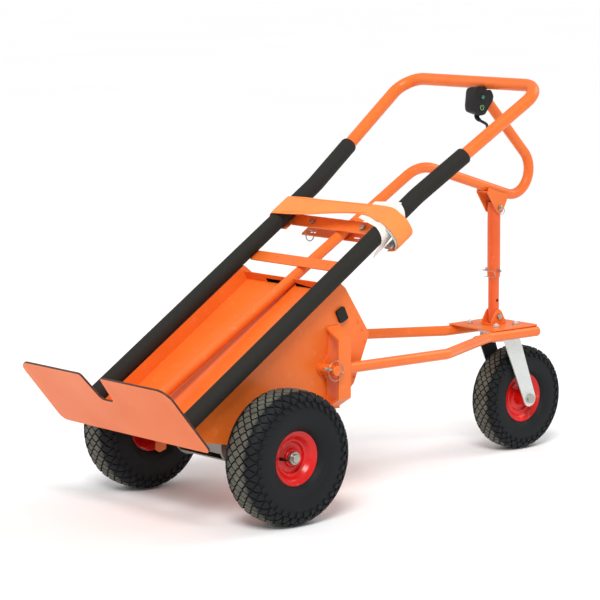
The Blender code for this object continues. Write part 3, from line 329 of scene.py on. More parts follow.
WEBBING = webbing("strap_webbing", rgb(255, 140, 62), rgb(246, 120, 48))
FELT = matt("white_felt", rgb(226, 216, 208), rgb(244, 238, 232), 620.0, 0.90, 0.40)
PATCH = matt("hook_patch", rgb(168, 178, 174), rgb(198, 205, 200), 500.0, 0.85, 0.40)
THREAD = matt("thread", rgb(214, 96, 34), rgb(236, 120, 52), 400.0, 0.80, 0.10)
print("cloth:", WEBBING.name, FELT.name)

# %% [markdown]
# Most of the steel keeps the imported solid, because its shape is already right. A node group welds
# the facets and turns on smooth shading except at real corners, and a narrow bevel gives each cut
# edge the highlight that folded sheet has.


# %% Smooth the carried-over solids
def soften_group():
    g = bpy.data.node_groups.new("Soften facets", "GeometryNodeTree")
    g.interface.new_socket("Geometry", in_out="INPUT", socket_type="NodeSocketGeometry")
    g.interface.new_socket("Corner angle", in_out="INPUT", socket_type="NodeSocketFloat")
    g.interface.new_socket("Geometry", in_out="OUTPUT", socket_type="NodeSocketGeometry")
    link = g.links.new
    gin = g.nodes.new("NodeGroupInput")
    gout = g.nodes.new("NodeGroupOutput")
    weld = g.nodes.new("GeometryNodeMergeByDistance")
    weld.inputs["Distance"].default_value = 0.000002
    faces = g.nodes.new("GeometryNodeSetShadeSmooth")
    edges = g.nodes.new("GeometryNodeSetShadeSmooth")
    edges.domain = "EDGE"
    edges.inputs["Shade Smooth"].default_value = False
    angle = g.nodes.new("GeometryNodeInputMeshEdgeAngle")
    over = g.nodes.new("FunctionNodeCompare")
    over.data_type = "FLOAT"
    over.operation = "GREATER_THAN"
    link(gin.outputs["Geometry"], weld.inputs["Geometry"])
    link(weld.outputs[0], faces.inputs["Geometry"])
    link(faces.outputs[0], edges.inputs["Geometry"])
    link(angle.outputs["Unsigned Angle"], over.inputs["A"])
    link(gin.outputs["Corner angle"], over.inputs["B"])
    link(over.outputs[0], edges.inputs["Selection"])
    link(edges.outputs[0], gout.inputs[0])
    return g


SOFTEN = soften_group()
CORNER_ID = [s.identifier for s in SOFTEN.interface.items_tree if s.name == "Corner angle"][0]


def dress(node, material, bevel=0.0, corner=35.0, edge_finish=None):
    obj = NODES[node]
    obj.data.materials.clear()
    obj.data.materials.append(material)
    if edge_finish:
        obj.data.materials.append(edge_finish)
        flat = max(obj.data.polygons, key=lambda f: f.area).normal.copy()
        for face in obj.data.polygons:
            face.material_index = 1 if abs(face.normal.dot(flat)) < 0.5 else 0
    mod = obj.modifiers.new("soften", "NODES")
    mod.node_group = SOFTEN
    mod[CORNER_ID] = math.radians(corner)
    if bevel:
        edge = obj.modifiers.new("edge", "BEVEL")
        edge.width = bevel
        edge.segments = 2
        edge.limit_method = "ANGLE"
        edge.angle_limit = math.radians(40.0)
        edge.use_clamp_overlap = True


for node in ("toe_plate", "left_side_panel", "right_side_panel"):
    dress(node, ORANGE, 0.0, 35.0, EDGE)
SHEET_STEEL = ["lower_cross_bar", "upper_cross_bar", "strap_plate", "front_panel", "axle_tab",
               "left_arm_bracket", "right_arm_bracket", "castor_plate", "base_clevis",
               "loop_clevis", "left_pivot_stud", "right_pivot_stud", "housing_wrap"]
for node in SHEET_STEEL:
    dress(node, ORANGE, 0.0007)
for node in ("prop_lower", "prop_upper"):
    dress(node, PROP_ORANGE, 0.0004, 50.0)
for node in ("castor_fork", "castor_head"):
    dress(node, GALVANISED, 0.0006)
# Painted shade: the inner faces of the fork legs below FORK_LEG_Z take the dark zinc, which stands
# in for the shade between the legs.
FORK_GAP_X, FORK_LEG_Z = 0.0445, 0.26
fork = NODES["castor_fork"].data
fork.materials.append(FORK_SHADE)
for face in fork.polygons:
    painted_shade_face = abs(face.center.x) < FORK_GAP_X and abs(face.normal.x) > 0.5
    if painted_shade_face and face.center.z < FORK_LEG_Z:
        face.material_index = 1
for node in ("left_bracket_bolt", "right_bracket_bolt", "base_bolt", "castor_axle", "top_pin",
             "lock_pin", "left_linch_pin", "right_linch_pin", "axle_shaft", "strap_buckle"):
    dress(node, ZINC, 0.0004)
for node in ("pull_ring", "lock_bow", "left_linch_ring", "right_linch_ring", "strap_ring"):
    dress(node, ZINC, 0.0, 80.0)
for node in ("axle_beam", "drive_motor"):
    dress(node, STEEL, 0.0006)
for node in ("control_body", "control_face", "charge_socket", "charge_flap", "left_valve",
             "right_valve"):
    dress(node, BLACK, 0.0006)
for node in ("power_button", "speed_button"):
    dress(node, BLACK, 0.0004)
print("dressed the packed solids")

# %% [markdown]
# Two mesh builders do nearly all the new shapes. One skins rings of points, which covers tubes,
# wires, lathe work and ribbons; the other finishes the mesh as a plain object with its finish,
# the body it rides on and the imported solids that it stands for.


# %% Mesh builders
def skin(bm, rings, closed=False):
    rows = [[bm.verts.new(p) for p in ring] for ring in rings]
    count = len(rows[0])
    for i in range(len(rows) if closed else len(rows) - 1):
        a, b = rows[i], rows[(i + 1) % len(rows)]
        for j in range(count):
            k = (j + 1) % count
            bm.faces.new((a[j], a[k], b[k], b[j]))
    if not closed:
        bm.faces.new(rows[0])
        bm.faces.new(rows[-1])


def plain(name, bm, material, corner=40.0):
    bmesh.ops.recalc_face_normals(bm, faces=bm.faces)
    mesh = bpy.data.meshes.new(name)
    bm.to_mesh(mesh)
    bm.free()
    mesh.materials.append(material)
    mesh.shade_smooth()
    mesh.set_sharp_from_angle(angle=math.radians(corner))
    obj = bpy.data.objects.new(name, mesh)
    bpy.context.scene.collection.objects.link(obj)
    return obj


def place(obj, body, slot, *nodes):
    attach(obj, body)
    if nodes:
        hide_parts(*nodes)
    return obj


def rounded_path(points, radii, step=math.radians(7.0)):
    pts = [Vector(p) for p in points]
    out = [pts[0]]
    for i in range(1, len(pts) - 1):
        a = (pts[i - 1] - pts[i]).normalized()
        b = (pts[i + 1] - pts[i]).normalized()
        turn = math.pi - a.angle(b)
        reach = radii[i - 1] * math.tan(turn / 2.0)
        centre = pts[i] + (a + b).normalized() * (radii[i - 1] / math.cos(turn / 2.0))
        start = pts[i] + a * reach - centre
        axis = start.cross(pts[i] + b * reach - centre).normalized()
        count = max(2, round(turn / step))
        out += [centre + Matrix.Rotation(turn * k / count, 3, axis) @ start
                for k in range(count + 1)]
    out.append(pts[-1])
    return out


def rings_along(path, radius, sides, up=None):
    """Rings square to the path; radius is a number or one number for each point."""
    rings = []
    last = None
    for i, point in enumerate(path):
        ahead = path[min(i + 1, len(path) - 1)] - path[max(i - 1, 0)]
        tan = ahead.normalized()
        if last is None:
            ref = up or (Vector((0, 0, 1)) if abs(tan.z) < 0.9 else Vector((1, 0, 0)))
        else:
            ref = last[0].rotation_difference(tan) @ last[1]
        ref = square_to(ref, tan)
        last = (tan.copy(), ref)
        side = tan.cross(ref)
        r = radius[i] if isinstance(radius, (list, tuple)) else radius
        rings.append([point + (ref * math.cos(a) + side * math.sin(a)) * r
                      for a in (2.0 * math.pi * k / sides for k in range(sides))])
    return rings


def pipe(name, path, radius, wall, material, sides=28, up=None):
    """Open-ended pipe, closed between its outer and inner walls."""
    bm = bmesh.new()
    outer = rings_along(path, radius, sides, up)
    inner = rings_along(path, radius - wall, sides, up)
    skin(bm, outer + inner[::-1], closed=True)
    return plain(name, bm, material, 50.0)


def turned(name, centre, profile, material, sides=64, axis=Vector((1, 0, 0)), corner=38.0):
    """Closed ring turned round an axis; profile is (along, radius) pairs."""
    axis = Vector(axis).normalized()
    u = Vector((0, 0, -1)) if abs(axis.z) < 0.5 else Vector((1, 0, 0))
    v = axis.cross(u)
    bm = bmesh.new()
    rings = []
    for k in range(sides):
        a = 2.0 * math.pi * k / sides
        radial = u * math.cos(a) + v * math.sin(a)
        rings.append([Vector(centre) + axis * p + radial * r for p, r in profile])
    skin(bm, rings, closed=True)
    return plain(name, bm, material, corner)


def smooth_line(points, steps=4):
    """Points of a smooth curve through the given points, which may have 2, 3 or 4 numbers."""
    out = []
    for i in range(len(points) - 1):
        a = Vector(points[max(i - 1, 0)])
        b = Vector(points[i])
        c = Vector(points[i + 1])
        d = Vector(points[min(i + 2, len(points) - 1)])
        for k in range(steps):
            t = k / steps
            out.append(0.5 * ((2 * b) + (c - a) * t + (2 * a - 5 * b + 4 * c - d) * t * t
                              + (3 * b - a - 3 * c + d) * t * t * t))
    out.append(Vector(points[-1]))
    return out


print("builders ready")

# %% [markdown]
# The tubes. The side tubes and the handle are one bent pipe; the spine runs up the middle, turns
# into the rear loop and meets the handle bar from below. Fine rings along rounded paths keep the
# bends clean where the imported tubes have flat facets.

# %% Handle, spine and arms
TUBE_FOOT_S = 0.0134
corners = [on_frame(-TUBE_X, TUBE_FOOT_S, 0), on_frame(-TUBE_X, SPLAY_S, 0),
           on_frame(-side_x(HANDLE_S), HANDLE_S, HANDLE_N),
           on_frame(side_x(HANDLE_S), HANDLE_S, HANDLE_N),
           on_frame(TUBE_X, SPLAY_S, 0), on_frame(TUBE_X, TUBE_FOOT_S, 0)]
handle = pipe("handle_fine", rounded_path(corners, [0.20, 0.055, 0.055, 0.20]), TUBE_R,
              0.002, ORANGE, 32, N)
place(handle, "truck_frame", "orange", "handle_tube")

bar = on_frame(0.0, HANDLE_S, HANDLE_N)
away = (bar - yz(0.9812, 0.7618)).normalized()
spine_points = [on_frame(0.0, 0.0152, -0.0083), yz(0.6422, 0.7324), yz(1.1684, 0.5726),
                bar - away * 0.0156]
spine_path = rounded_path(spine_points, [0.112, 0.0595])
spine = pipe("spine_fine", spine_path, SPINE_R, 0.002, ORANGE, 28, Vector((1, 0, 0)))
place(spine, "truck_frame", "orange", "spine_tube")

for side, name in ((1, "left"), (-1, "right")):
    points = [yz(0.2010, 0.3100, side * 0.187), yz(0.5525, 0.3071, side * 0.187),
              yz(0.8045, 0.3051, side * 0.072), yz(0.9780, 0.3037, side * 0.072)]
    arm = pipe(name + "_arm_fine", rounded_path(points, [0.03, 0.03]), SPINE_R, 0.0018,
               ORANGE, 28)
    place(arm, "rear_support", "orange", name + "_arm")
print("tubes: handle", len(handle.data.polygons), "faces, spine", len(spine.data.polygons))

# %% [markdown]
# Foam grips slip over both side tubes up to the splay. Each is a long soft tube with rolled ends.

# %% Foam grips
GRIP_END_S, GRIP_R, GRIP_BORE = 1.013, 0.0200, 0.0153
ROLL_R = [0.0178, 0.0192]
for side, name in ((1, "left"), (-1, "right")):
    share = (GRIP_END_S - SPLAY_S) / (HANDLE_S - SPLAY_S)
    points = [on_frame(side * TUBE_X, 0.0140, 0), on_frame(side * TUBE_X, SPLAY_S, 0),
              on_frame(side * side_x(GRIP_END_S), GRIP_END_S, HANDLE_N * share)]
    line = rounded_path(points, [0.20], math.radians(2.0))
    head = (line[1] - line[0]).normalized()
    tail = (line[-2] - line[-1]).normalized()
    path = [line[0], line[0] + head * 0.0015, line[0] + head * 0.004] + line[1:-1]
    path += [line[-1] + tail * 0.004, line[-1] + tail * 0.0015, line[-1]]
    radii = ROLL_R + [GRIP_R] * len(line) + ROLL_R[::-1]
    bm = bmesh.new()
    outer = rings_along(path, radii, 32, N)
    inner = rings_along(path, GRIP_BORE, 32, N)
    skin(bm, outer + inner[::-1], closed=True)
    grip = plain(name + "_grip_foam", bm, FOAM, 60.0)
    place(grip, "truck_frame", "sleeve", name + "_sleeve")
print("two foam grips")

# %% [markdown]
# Repeated shapes come from two node groups: one turns copies round the wheel's axle, the other
# sets copies along a line. The copies are made real at once, so that what leaves the script is a
# plain mesh with its own finish.


# %% Repeating node groups
def repeat_group(name, inputs, build):
    g = bpy.data.node_groups.new(name, "GeometryNodeTree")
    g.interface.new_socket("Geometry", in_out="INPUT", socket_type="NodeSocketGeometry")
    for label, kind in inputs:
        g.interface.new_socket(label, in_out="INPUT", socket_type=kind)
    g.interface.new_socket("Geometry", in_out="OUTPUT", socket_type="NodeSocketGeometry")
    gin = g.nodes.new("NodeGroupInput")
    gout = g.nodes.new("NodeGroupOutput")
    points = g.nodes.new("GeometryNodePoints")
    copies = g.nodes.new("GeometryNodeInstanceOnPoints")
    real = g.nodes.new("GeometryNodeRealizeInstances")
    finish = g.nodes.new("GeometryNodeSetMaterial")
    g.links.new(gin.outputs["Count"], points.inputs["Count"])
    g.links.new(points.outputs[0], copies.inputs["Points"])
    g.links.new(gin.outputs["Geometry"], copies.inputs["Instance"])
    build(g, gin, points, copies)
    g.links.new(copies.outputs[0], real.inputs[0])
    g.links.new(real.outputs[0], finish.inputs["Geometry"])
    g.links.new(gin.outputs["Finish"], finish.inputs["Material"])
    g.links.new(finish.outputs[0], gout.inputs[0])
    return g


def round_axle(g, gin, points, copies):
    """Copy number i turns by i times the step, about X through the centre."""
    index = g.nodes.new("GeometryNodeInputIndex")
    times = g.nodes.new("ShaderNodeMath")
    times.operation = "MULTIPLY"
    turn = g.nodes.new("ShaderNodeCombineXYZ")
    g.links.new(index.outputs[0], times.inputs[0])
    g.links.new(gin.outputs["Step angle"], times.inputs[1])
    g.links.new(times.outputs[0], turn.inputs["X"])
    g.links.new(turn.outputs[0], copies.inputs["Rotation"])
    g.links.new(gin.outputs["Centre"], points.inputs["Position"])


def along_line(g, gin, points, copies):
    """Copy number i sits i steps from the start."""
    index = g.nodes.new("GeometryNodeInputIndex")
    scale = g.nodes.new("ShaderNodeVectorMath")
    scale.operation = "SCALE"
    add = g.nodes.new("ShaderNodeVectorMath")
    add.operation = "ADD"
    g.links.new(gin.outputs["Step"], scale.inputs[0])
    g.links.new(index.outputs[0], scale.inputs["Scale"])
    g.links.new(gin.outputs["Start"], add.inputs[0])
    g.links.new(scale.outputs[0], add.inputs[1])
    g.links.new(add.outputs[0], points.inputs["Position"])


ROUND = repeat_group("Repeat round an axle", [("Count", "NodeSocketInt"),
                     ("Step angle", "NodeSocketFloat"), ("Centre", "NodeSocketVector"),
                     ("Finish", "NodeSocketMaterial")], round_axle)
LINE = repeat_group("Repeat along a line", [("Count", "NodeSocketInt"),
                    ("Start", "NodeSocketVector"), ("Step", "NodeSocketVector"),
                    ("Finish", "NodeSocketMaterial")], along_line)


def repeated(name, unit, group, corner=40.0, **values):
    """Run a repeating group on a unit object and keep the result as a plain mesh."""
    mod = unit.modifiers.new("repeat", "NODES")
    mod.node_group = group
    ids = {s.name: s.identifier for s in group.interface.items_tree
           if s.item_type == "SOCKET" and s.in_out == "INPUT"}
    for key, value in values.items():
        mod[ids[key.replace("_", " ")]] = value
    bpy.context.view_layer.update()
    graph = bpy.context.evaluated_depsgraph_get()
    mesh = bpy.data.meshes.new_from_object(unit.evaluated_get(graph))
    mesh.name = name
    mesh.shade_smooth()
    mesh.set_sharp_from_angle(angle=math.radians(corner))
    bpy.data.objects.remove(unit)
    obj = bpy.data.objects.new(name, mesh)
    bpy.context.scene.collection.objects.link(obj)
    return obj


print("groups:", ROUND.name, "and", LINE.name)

# %% [markdown]
# The tyres. The carcass is a turned ring with a rounded shoulder and a side wall that tucks into
# the rim; the tread is one pitch of blocks, diamonds on the crown and lugs that wrap the
# shoulder, repeated round the axle by the node group.


# %% Tyre carcass and tread
def carcass_line(radius, half):
    """Section from one bead to the other, as (along, radius) points; half is half the width."""
    depth = radius - 0.0042 - BEAD_R
    side = [(0.60, 0.0), (0.80, 0.10), (0.95, 0.27), (0.995, 0.48), (0.965, 0.70), (0.86, 0.865),
            (0.66, 0.955), (0.36, 0.99)]
    pts = [(-a * half, BEAD_R + b * depth) for a, b in side] + [(0.0, BEAD_R + depth)]
    pts += [(a * half, BEAD_R + b * depth) for a, b in side[::-1]]
    return smooth_line(pts, 3)


def at_distance(line, d):
    """Point and outward normal at signed distance d from the crown, along the section."""
    ahead = line[len(line) // 2:] if d >= 0 else line[len(line) // 2::-1]
    left = abs(d)
    for a, b in zip(ahead, ahead[1:]):
        step = (b - a).length
        if left <= step:
            break
        left -= step
    way = (b - a).normalized() * (1.0 if d >= 0 else -1.0)
    return a.lerp(b, min(1.0, left / step)), Vector((-way.y, way.x))


def block(bm, line, d0, d1, middle, width, height, steps):
    rings = []
    for k in range(steps + 1):
        share = k / steps
        point, normal = at_distance(line, d0 + (d1 - d0) * share)
        foot = point - normal * 0.0012
        top = point + normal * (height * (0.8 if k in (0, steps) else 1.0))
        a, w = middle(share), width(share)
        ring = []
        for p, ang in ((foot, a - w), (top, a - w * 0.86), (top, a + w * 0.86), (foot, a + w)):
            ring.append(Vector((p.x, -math.sin(ang) * p.y, -math.cos(ang) * p.y)))
        rings.append(ring)
    skin(bm, rings)


def tread_unit(name, radius, half, pitch, height, rubber):
    """One pitch: rows of diamonds across the crown, then a notched lug on each shoulder."""
    line = carcass_line(radius, half)
    row = half * 0.25
    bm = bmesh.new()
    for k in range(-3, 4):
        mid = pitch * 0.5 * (k % 2)
        block(bm, line, row * (k - 0.86), row * (k + 0.86), lambda q: mid,
              lambda q: pitch * (0.015 + 0.385 * (1.0 - abs(2.0 * q - 1.0))), height, 4)
    for sign in (1, -1):
        block(bm, line, sign * row * 3.22, sign * row * 4.30, lambda q: pitch * 0.06 * q,
              lambda q: pitch * (0.04 + 0.31 * min(1.0, q * 2.2)), height * 1.05, 4)
        block(bm, line, sign * row * 4.42, sign * row * 5.30,
              lambda q: pitch * (0.50 + 0.20 * q), lambda q: pitch * (0.34 - 0.12 * q),
              height * 0.85, 3)
    return plain(name, bm, rubber, 30.0)


WHEELS = [("left", Vector((WHEEL_X, 0, 0)) + AXLE, WHEEL_R, WHEEL_HALF, 36, "left_wheel", TYRE),
          ("right", Vector((-WHEEL_X, 0, 0)) + AXLE, WHEEL_R, WHEEL_HALF, 36, "right_wheel",
           TYRE),
          ("castor", CASTOR_AXLE, CASTOR_R, CASTOR_HALF, 34, "castor_wheel", CASTOR_TYRE)]
for name, centre, radius, half, count, body, rubber in WHEELS:
    line = carcass_line(radius, half)
    inner = [(p.x * 0.80, p.y - 0.006 if abs(p.x) < 0.5 * half else p.y - 0.001)
             for p in line[::3]]
    inner = [(a, max(r, BEAD_R)) for a, r in inner]
    profile = [(p.x, p.y) for p in line] + inner[::-1]
    tyre = turned(name + "_tyre_carcass", centre, profile, rubber, 96)
    place(tyre, body, "tyre", name + "_tyre")
    pitch = 2.0 * math.pi / count
    unit = tread_unit(name + "_tread_unit", radius, half, pitch, 0.0040, rubber)
    tread = repeated(name + "_tread", unit, ROUND, 30.0, Count=count, Step_angle=pitch,
                     Centre=tuple(centre), Finish=rubber)
    place(tread, body, "tyre")
    print(name, "tyre:", len(tread.data.polygons), "tread faces")

# %% [markdown]
# The rims are pressed in two halves: a hub, a dished web and a well with a rolled lip. They are
# turned from one closed section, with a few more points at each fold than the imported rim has.


# %% Rims
BIG_RIM = (0.028, 0.01006, 0.034, 0.0165)
CASTOR_RIM = (0.0225, 0.00806, 0.0425, 0.0425)


def rim_section(side, lip_x, bore, hub_in, hub_out):
    lip = 0.0605
    t = 0.0024
    outer = smooth_line([(0.0060 + t, 0.0205), (0.0046 + t, 0.0260), (0.0046 + t, 0.0320),
                         (0.0095, 0.0345), (0.0132, 0.0362), (0.0136, 0.0400),
                         (lip_x - 0.010, 0.0440), (lip_x - 0.004, 0.0490),
                         (lip_x - 0.0005, 0.0560), (lip_x + 0.0015, lip), (lip_x, lip + 0.0008),
                         (lip_x - 0.0018, lip)], 3)
    well = [(lip_x - 0.0040, 0.0560), (lip_x - 0.0120, 0.0500), (-lip_x + 0.0120, 0.0500),
            (-lip_x + 0.0040, 0.0560), (-lip_x + 0.0018, lip), (-lip_x, lip + 0.0008),
            (-lip_x - 0.0015, lip), (-lip_x + 0.0005, 0.0560), (-lip_x + 0.0100, 0.0460),
            (0.0000, 0.0370), (0.0030, 0.0310), (0.0030, 0.0215), (-0.0010, 0.0190),
            (-hub_in + 0.001, 0.0190), (-hub_in, 0.0180)]
    hub = [(-hub_in, bore), (hub_out, bore), (hub_out, 0.0180), (hub_out - 0.001, 0.0190),
           (0.0100, 0.0190)]
    return [(side * a, r) for a, r in hub + [(p.x, p.y) for p in outer] + well]


for name, centre, radius, half, count, body, rubber in WHEELS:
    side = -1 if name == "right" else 1
    big = radius == WHEEL_R
    section = rim_section(side, *(BIG_RIM if big else CASTOR_RIM))
    rim = turned(name + "_rim_pressed", centre, section, RED, 72)
    place(rim, body, "red", name + "_rim")
print("three rims")

# %% [markdown]
# The strap. It is one flat length of webbing that starts behind the far grip, crosses the load
# side and wraps the near grip over a strip of felt. It is stretched tight, so the shape is laid
# out directly.


# %% Strap and lining
def ribbon(name, line, thick, material, across=5):
    """Closed band through (x, n, low s, high s) stations with length and width as UV."""
    pts = [Vector((a[0], a[1])) for a in line]
    run = [0.0]
    for a, b in zip(pts, pts[1:]):
        run.append(run[-1] + (b - a).length)
    bm = bmesh.new()
    rings = []
    for i, p in enumerate(pts):
        d = (pts[min(i + 1, len(pts) - 1)] - pts[max(i - 1, 0)]).normalized()
        out = Vector((-d.y, d.x)) * thick
        lo, hi = line[i][2], line[i][3]
        ring = []
        for k in range(across + 1):
            ring.append(on_frame(p.x, lo + (hi - lo) * k / across, p.y))
        for k in range(across, -1, -1):
            edge = 0.75 if k in (0, across) else 1.0
            ring.append(on_frame(p.x + out.x * edge, lo + (hi - lo) * k / across,
                                 p.y + out.y * edge))
        rings.append(ring)
    skin(bm, rings)
    layer = bm.loops.layers.uv.new("along")
    bm.verts.ensure_lookup_table()
    per = 2 * (across + 1)
    for face in bm.faces:
        for loop in face.loops:
            row, col = divmod(loop.vert.index, per)
            k = col if col <= across else per - 1 - col
            width = line[row][3] - line[row][2]
            loop[layer].uv = (run[row], width * k / across)
    obj = plain(name, bm, material, 40.0)
    return obj, run[-1]


r = 0.0216
band_line = [(-0.1565, -r, 0.712, 0.770), (-0.176, -r, 0.712, 0.772)]
for deg in (234, 210, 186, 162, 138, 114, 94):
    a = math.radians(deg)
    band_line.append((-0.1755 + r * math.cos(a), r * math.sin(a), 0.713, 0.778))
band_line += [(-0.120, r + 0.0006, 0.716, 0.7800), (-0.060, r + 0.0012, 0.722, 0.7790),
              (0.000, r + 0.0012, 0.7340, 0.7800), (0.060, r + 0.0012, 0.7430, 0.7810),
              (0.112, r + 0.0012, 0.7450, 0.7820), (0.145, r + 0.0014, 0.7370, 0.7810)]
roll = [(0.1640, 0.0232, 0.7295, 0.7795), (0.1780, 0.0229, 0.7270, 0.7775),
        (0.1910, 0.0184, 0.7245, 0.7755), (0.1995, 0.0090, 0.7235, 0.7745),
        (0.2050, -0.0020, 0.7240, 0.7770), (0.2085, -0.0130, 0.7230, 0.7765),
        (0.2105, -0.0240, 0.7225, 0.7755), (0.2105, -0.0345, 0.7200, 0.7740),
        (0.2065, -0.0425, 0.7170, 0.7710), (0.1970, -0.0470, 0.7130, 0.7680),
        (0.1760, -0.0480, 0.7110, 0.7660)]
band_line += roll
strap, strap_length = ribbon("load_strap", smooth_line(band_line), 0.0022, WEBBING, 6)
place(strap, "truck_frame", "webbing", "strap_band")

r = 0.0203
felt_line = [(0.100, r, 0.735, 0.796)]
for deg in (92, 70, 50, 30, 10, -10, -30, -50):
    a = math.radians(deg)
    drop = 0.020 * (92 - deg) / 142.0
    felt_line.append((0.1755 + r * math.cos(a), r * math.sin(a), 0.712 - drop, 0.803 - drop * 1.3))
felt_line += [(0.1800, -0.0265, 0.676, 0.735), (0.1750, -0.0360, 0.668, 0.706)]
felt, felt_length = ribbon("strap_felt", smooth_line(felt_line), 0.0010, FELT, 6)
place(felt, "truck_frame", "lining", "strap_lining")
patch_line = [(x - 0.0030, n - 0.0002, low - 0.0045, high - 0.010)
              for x, n, low, high in roll[3:9]]
patch, patch_length = ribbon("hook_patch", smooth_line(patch_line), 0.0016, PATCH, 6)
place(patch, "truck_frame", "lining")
print("strap", round(strap_length, 3), "m, felt", round(felt_length, 3), "m")

# %% [markdown]
# Small fixings: a row of stitches along each edge of the strap, rivets up the recessed front
# panel and screws round the folded housing. Each is one small capsule or domed head, set out by
# the line group.


# %% Stitches, rivets and screws
def capsule(name, axis, length, radius, material):
    bm = bmesh.new()
    axis = Vector(axis).normalized()
    path = [axis * (length * (k / 4.0 - 0.5)) for k in range(5)]
    skin(bm, rings_along(path, [radius * 0.4, radius, radius, radius, radius * 0.4], 6))
    return plain(name, bm, material, 70.0)


def button_head(name, axis, radius, height, material):
    axis = Vector(axis).normalized()
    profile = [0.0, 0.55 * height, 0.85 * height, height]
    sizes = [radius, radius * 0.93, radius * 0.66, radius * 0.25]
    bm = bmesh.new()
    skin(bm, rings_along([axis * p for p in profile], sizes, 14))
    return plain(name, bm, material, 60.0)


STITCHES = 60
PANEL_X = 0.1602
for label, low_s, high_s in (("low", 0.7190, 0.7500), ("high", 0.7740, 0.7765)):
    start = on_frame(-0.150, low_s, 0.0246)
    end = on_frame(0.110, high_s, 0.0253)
    step = (end - start) / (STITCHES - 1)
    unit = capsule("stitch_unit", step, 0.0036, 0.00045, THREAD)
    row = repeated("strap_stitches_" + label, unit, LINE, Count=STITCHES,
                   Start=tuple(start),
                   Step=tuple(step), Finish=THREAD)
    place(row, "truck_frame", "webbing")

for side in (1, -1):
    label = "left" if side > 0 else "right"
    rows = [("top", yz(0.2950, 0.4060, side * PANEL_X), Vector((0, 0.0300, -0.0470)) * 0.4, 2),
            ("back", yz(0.3170, 0.3600, side * PANEL_X), Vector((0, -0.0330, -0.0800)), 2),
            ("foot", yz(0.2480, 0.2540, side * PANEL_X), Vector((0, -0.0600, -0.0290)), 3)]
    for key, start, step, count in rows:
        unit = button_head("screw_unit", (side, 0, 0), 0.0034, 0.0022, ORANGE)
        heads = repeated("%s_screws_%s" % (label, key), unit, LINE, Count=count,
                         Start=tuple(start), Step=tuple(step), Finish=ORANGE)
        place(heads, "truck_frame", "orange")
unit = button_head("rivet_unit", N, 0.0026, 0.0016, ZINC)
start = on_frame(-0.140, 0.120, -0.0480)
rivets = repeated("front_rivets", unit, LINE, Count=6, Start=tuple(start),
                  Step=tuple(T * 0.082), Finish=ORANGE)
place(rivets, "truck_frame", "orange")
print("stitches, rivets and screws set out")

# %% [markdown]
# Weld beads show where the tubes, plates and clevises meet. A bead is a wire whose thickness
# ripples, laid round the joint; at this size a smooth ring would look like a rubber band.


# %% Weld beads
def bead(name, path, radius, body, seed=0):
    path = [Vector(p) for p in path]
    sizes = [radius * (1.0 + 0.18 * math.sin(2.1 * k + seed)) for k in range(len(path))]
    bm = bmesh.new()
    skin(bm, rings_along(path, sizes, 8))
    return place(plain(name, bm, ORANGE, 80.0), body, "orange")


def hoop(centre, normal, radius, start=0.0, sweep=360.0, count=36, up=None):
    normal = Vector(normal).normalized()
    u = (up or normal.orthogonal()).normalized()
    u = square_to(u, normal)
    v = normal.cross(u)
    return [Vector(centre) + (u * math.cos(a) + v * math.sin(a)) * radius
            for a in (math.radians(start + sweep * k / count) for k in range(count + 1))]


bead("weld_loop_top", hoop(bar - away * 0.0162, away, 0.0125), 0.0016, "truck_frame")
bead("weld_spine_foot", hoop(on_frame(0, 0.0148, -0.0083), T, 0.0128), 0.0016, "truck_frame", 1)
for side in (1, -1):
    label = "left" if side > 0 else "right"
    bead("weld_bar_low_" + label, [on_frame(side * x, 0.606, -0.0180) + T * w for x, w in
         ((0.164, -0.015), (0.1645, -0.005), (0.1645, 0.005), (0.164, 0.015))], 0.0013,
         "truck_frame", side)
    points = [yz(0.9765 - 0.011 * k, 0.3165, side * (0.072 + 0.0005)) for k in range(15)]
    bead("weld_arm_" + label, points, 0.0014, "rear_support", side)
print("weld beads laid")

# %% [markdown]
# The control pod has two round keys. The symbols are printed on the real one, so here they are
# thin flat shapes that sit on the keys: a broken ring with a bar for power, and a small fan of
# bars for speed. They move with their keys.

# %% Key symbols
POD_Y = 0.808
POWER_Y, POWER_Z = POD_Y - 0.0146, 0.8630
SPEED_Y, SPEED_Z = POD_Y - 0.0118, 0.8874
FRONT = 0.0566


def flat_wire(name, points, width, body, material):
    bm = bmesh.new()
    skin(bm, rings_along([Vector(p) for p in points], width, 6))
    return place(plain(name, bm, material, 60.0), body, "button")


centre = yz(POWER_Y, POWER_Z, FRONT)
flat_wire("power_ring", hoop(centre, (1, 0, 0), 0.0060, 30.0, 300.0, 28, Vector((0, 0, 1))),
          0.0009, "power_key", GREEN)
flat_wire("power_bar", [centre + Vector((0, 0, 0.0004)), centre + Vector((0, 0, 0.0068))],
          0.0009, "power_key", GREEN)
centre = yz(SPEED_Y, SPEED_Z, FRONT)
for k in range(3):
    up = Vector((0, 0, 0.0030 * (k - 1)))
    half = (0.0022, 0.0054, 0.0030)[k]
    flat_wire("speed_bar_%d" % k, [centre + up - Vector((0, half, 0)),
                                   centre + up + Vector((0, half, 0))], 0.0013, "speed_key", TEAL)
print("key symbols placed")
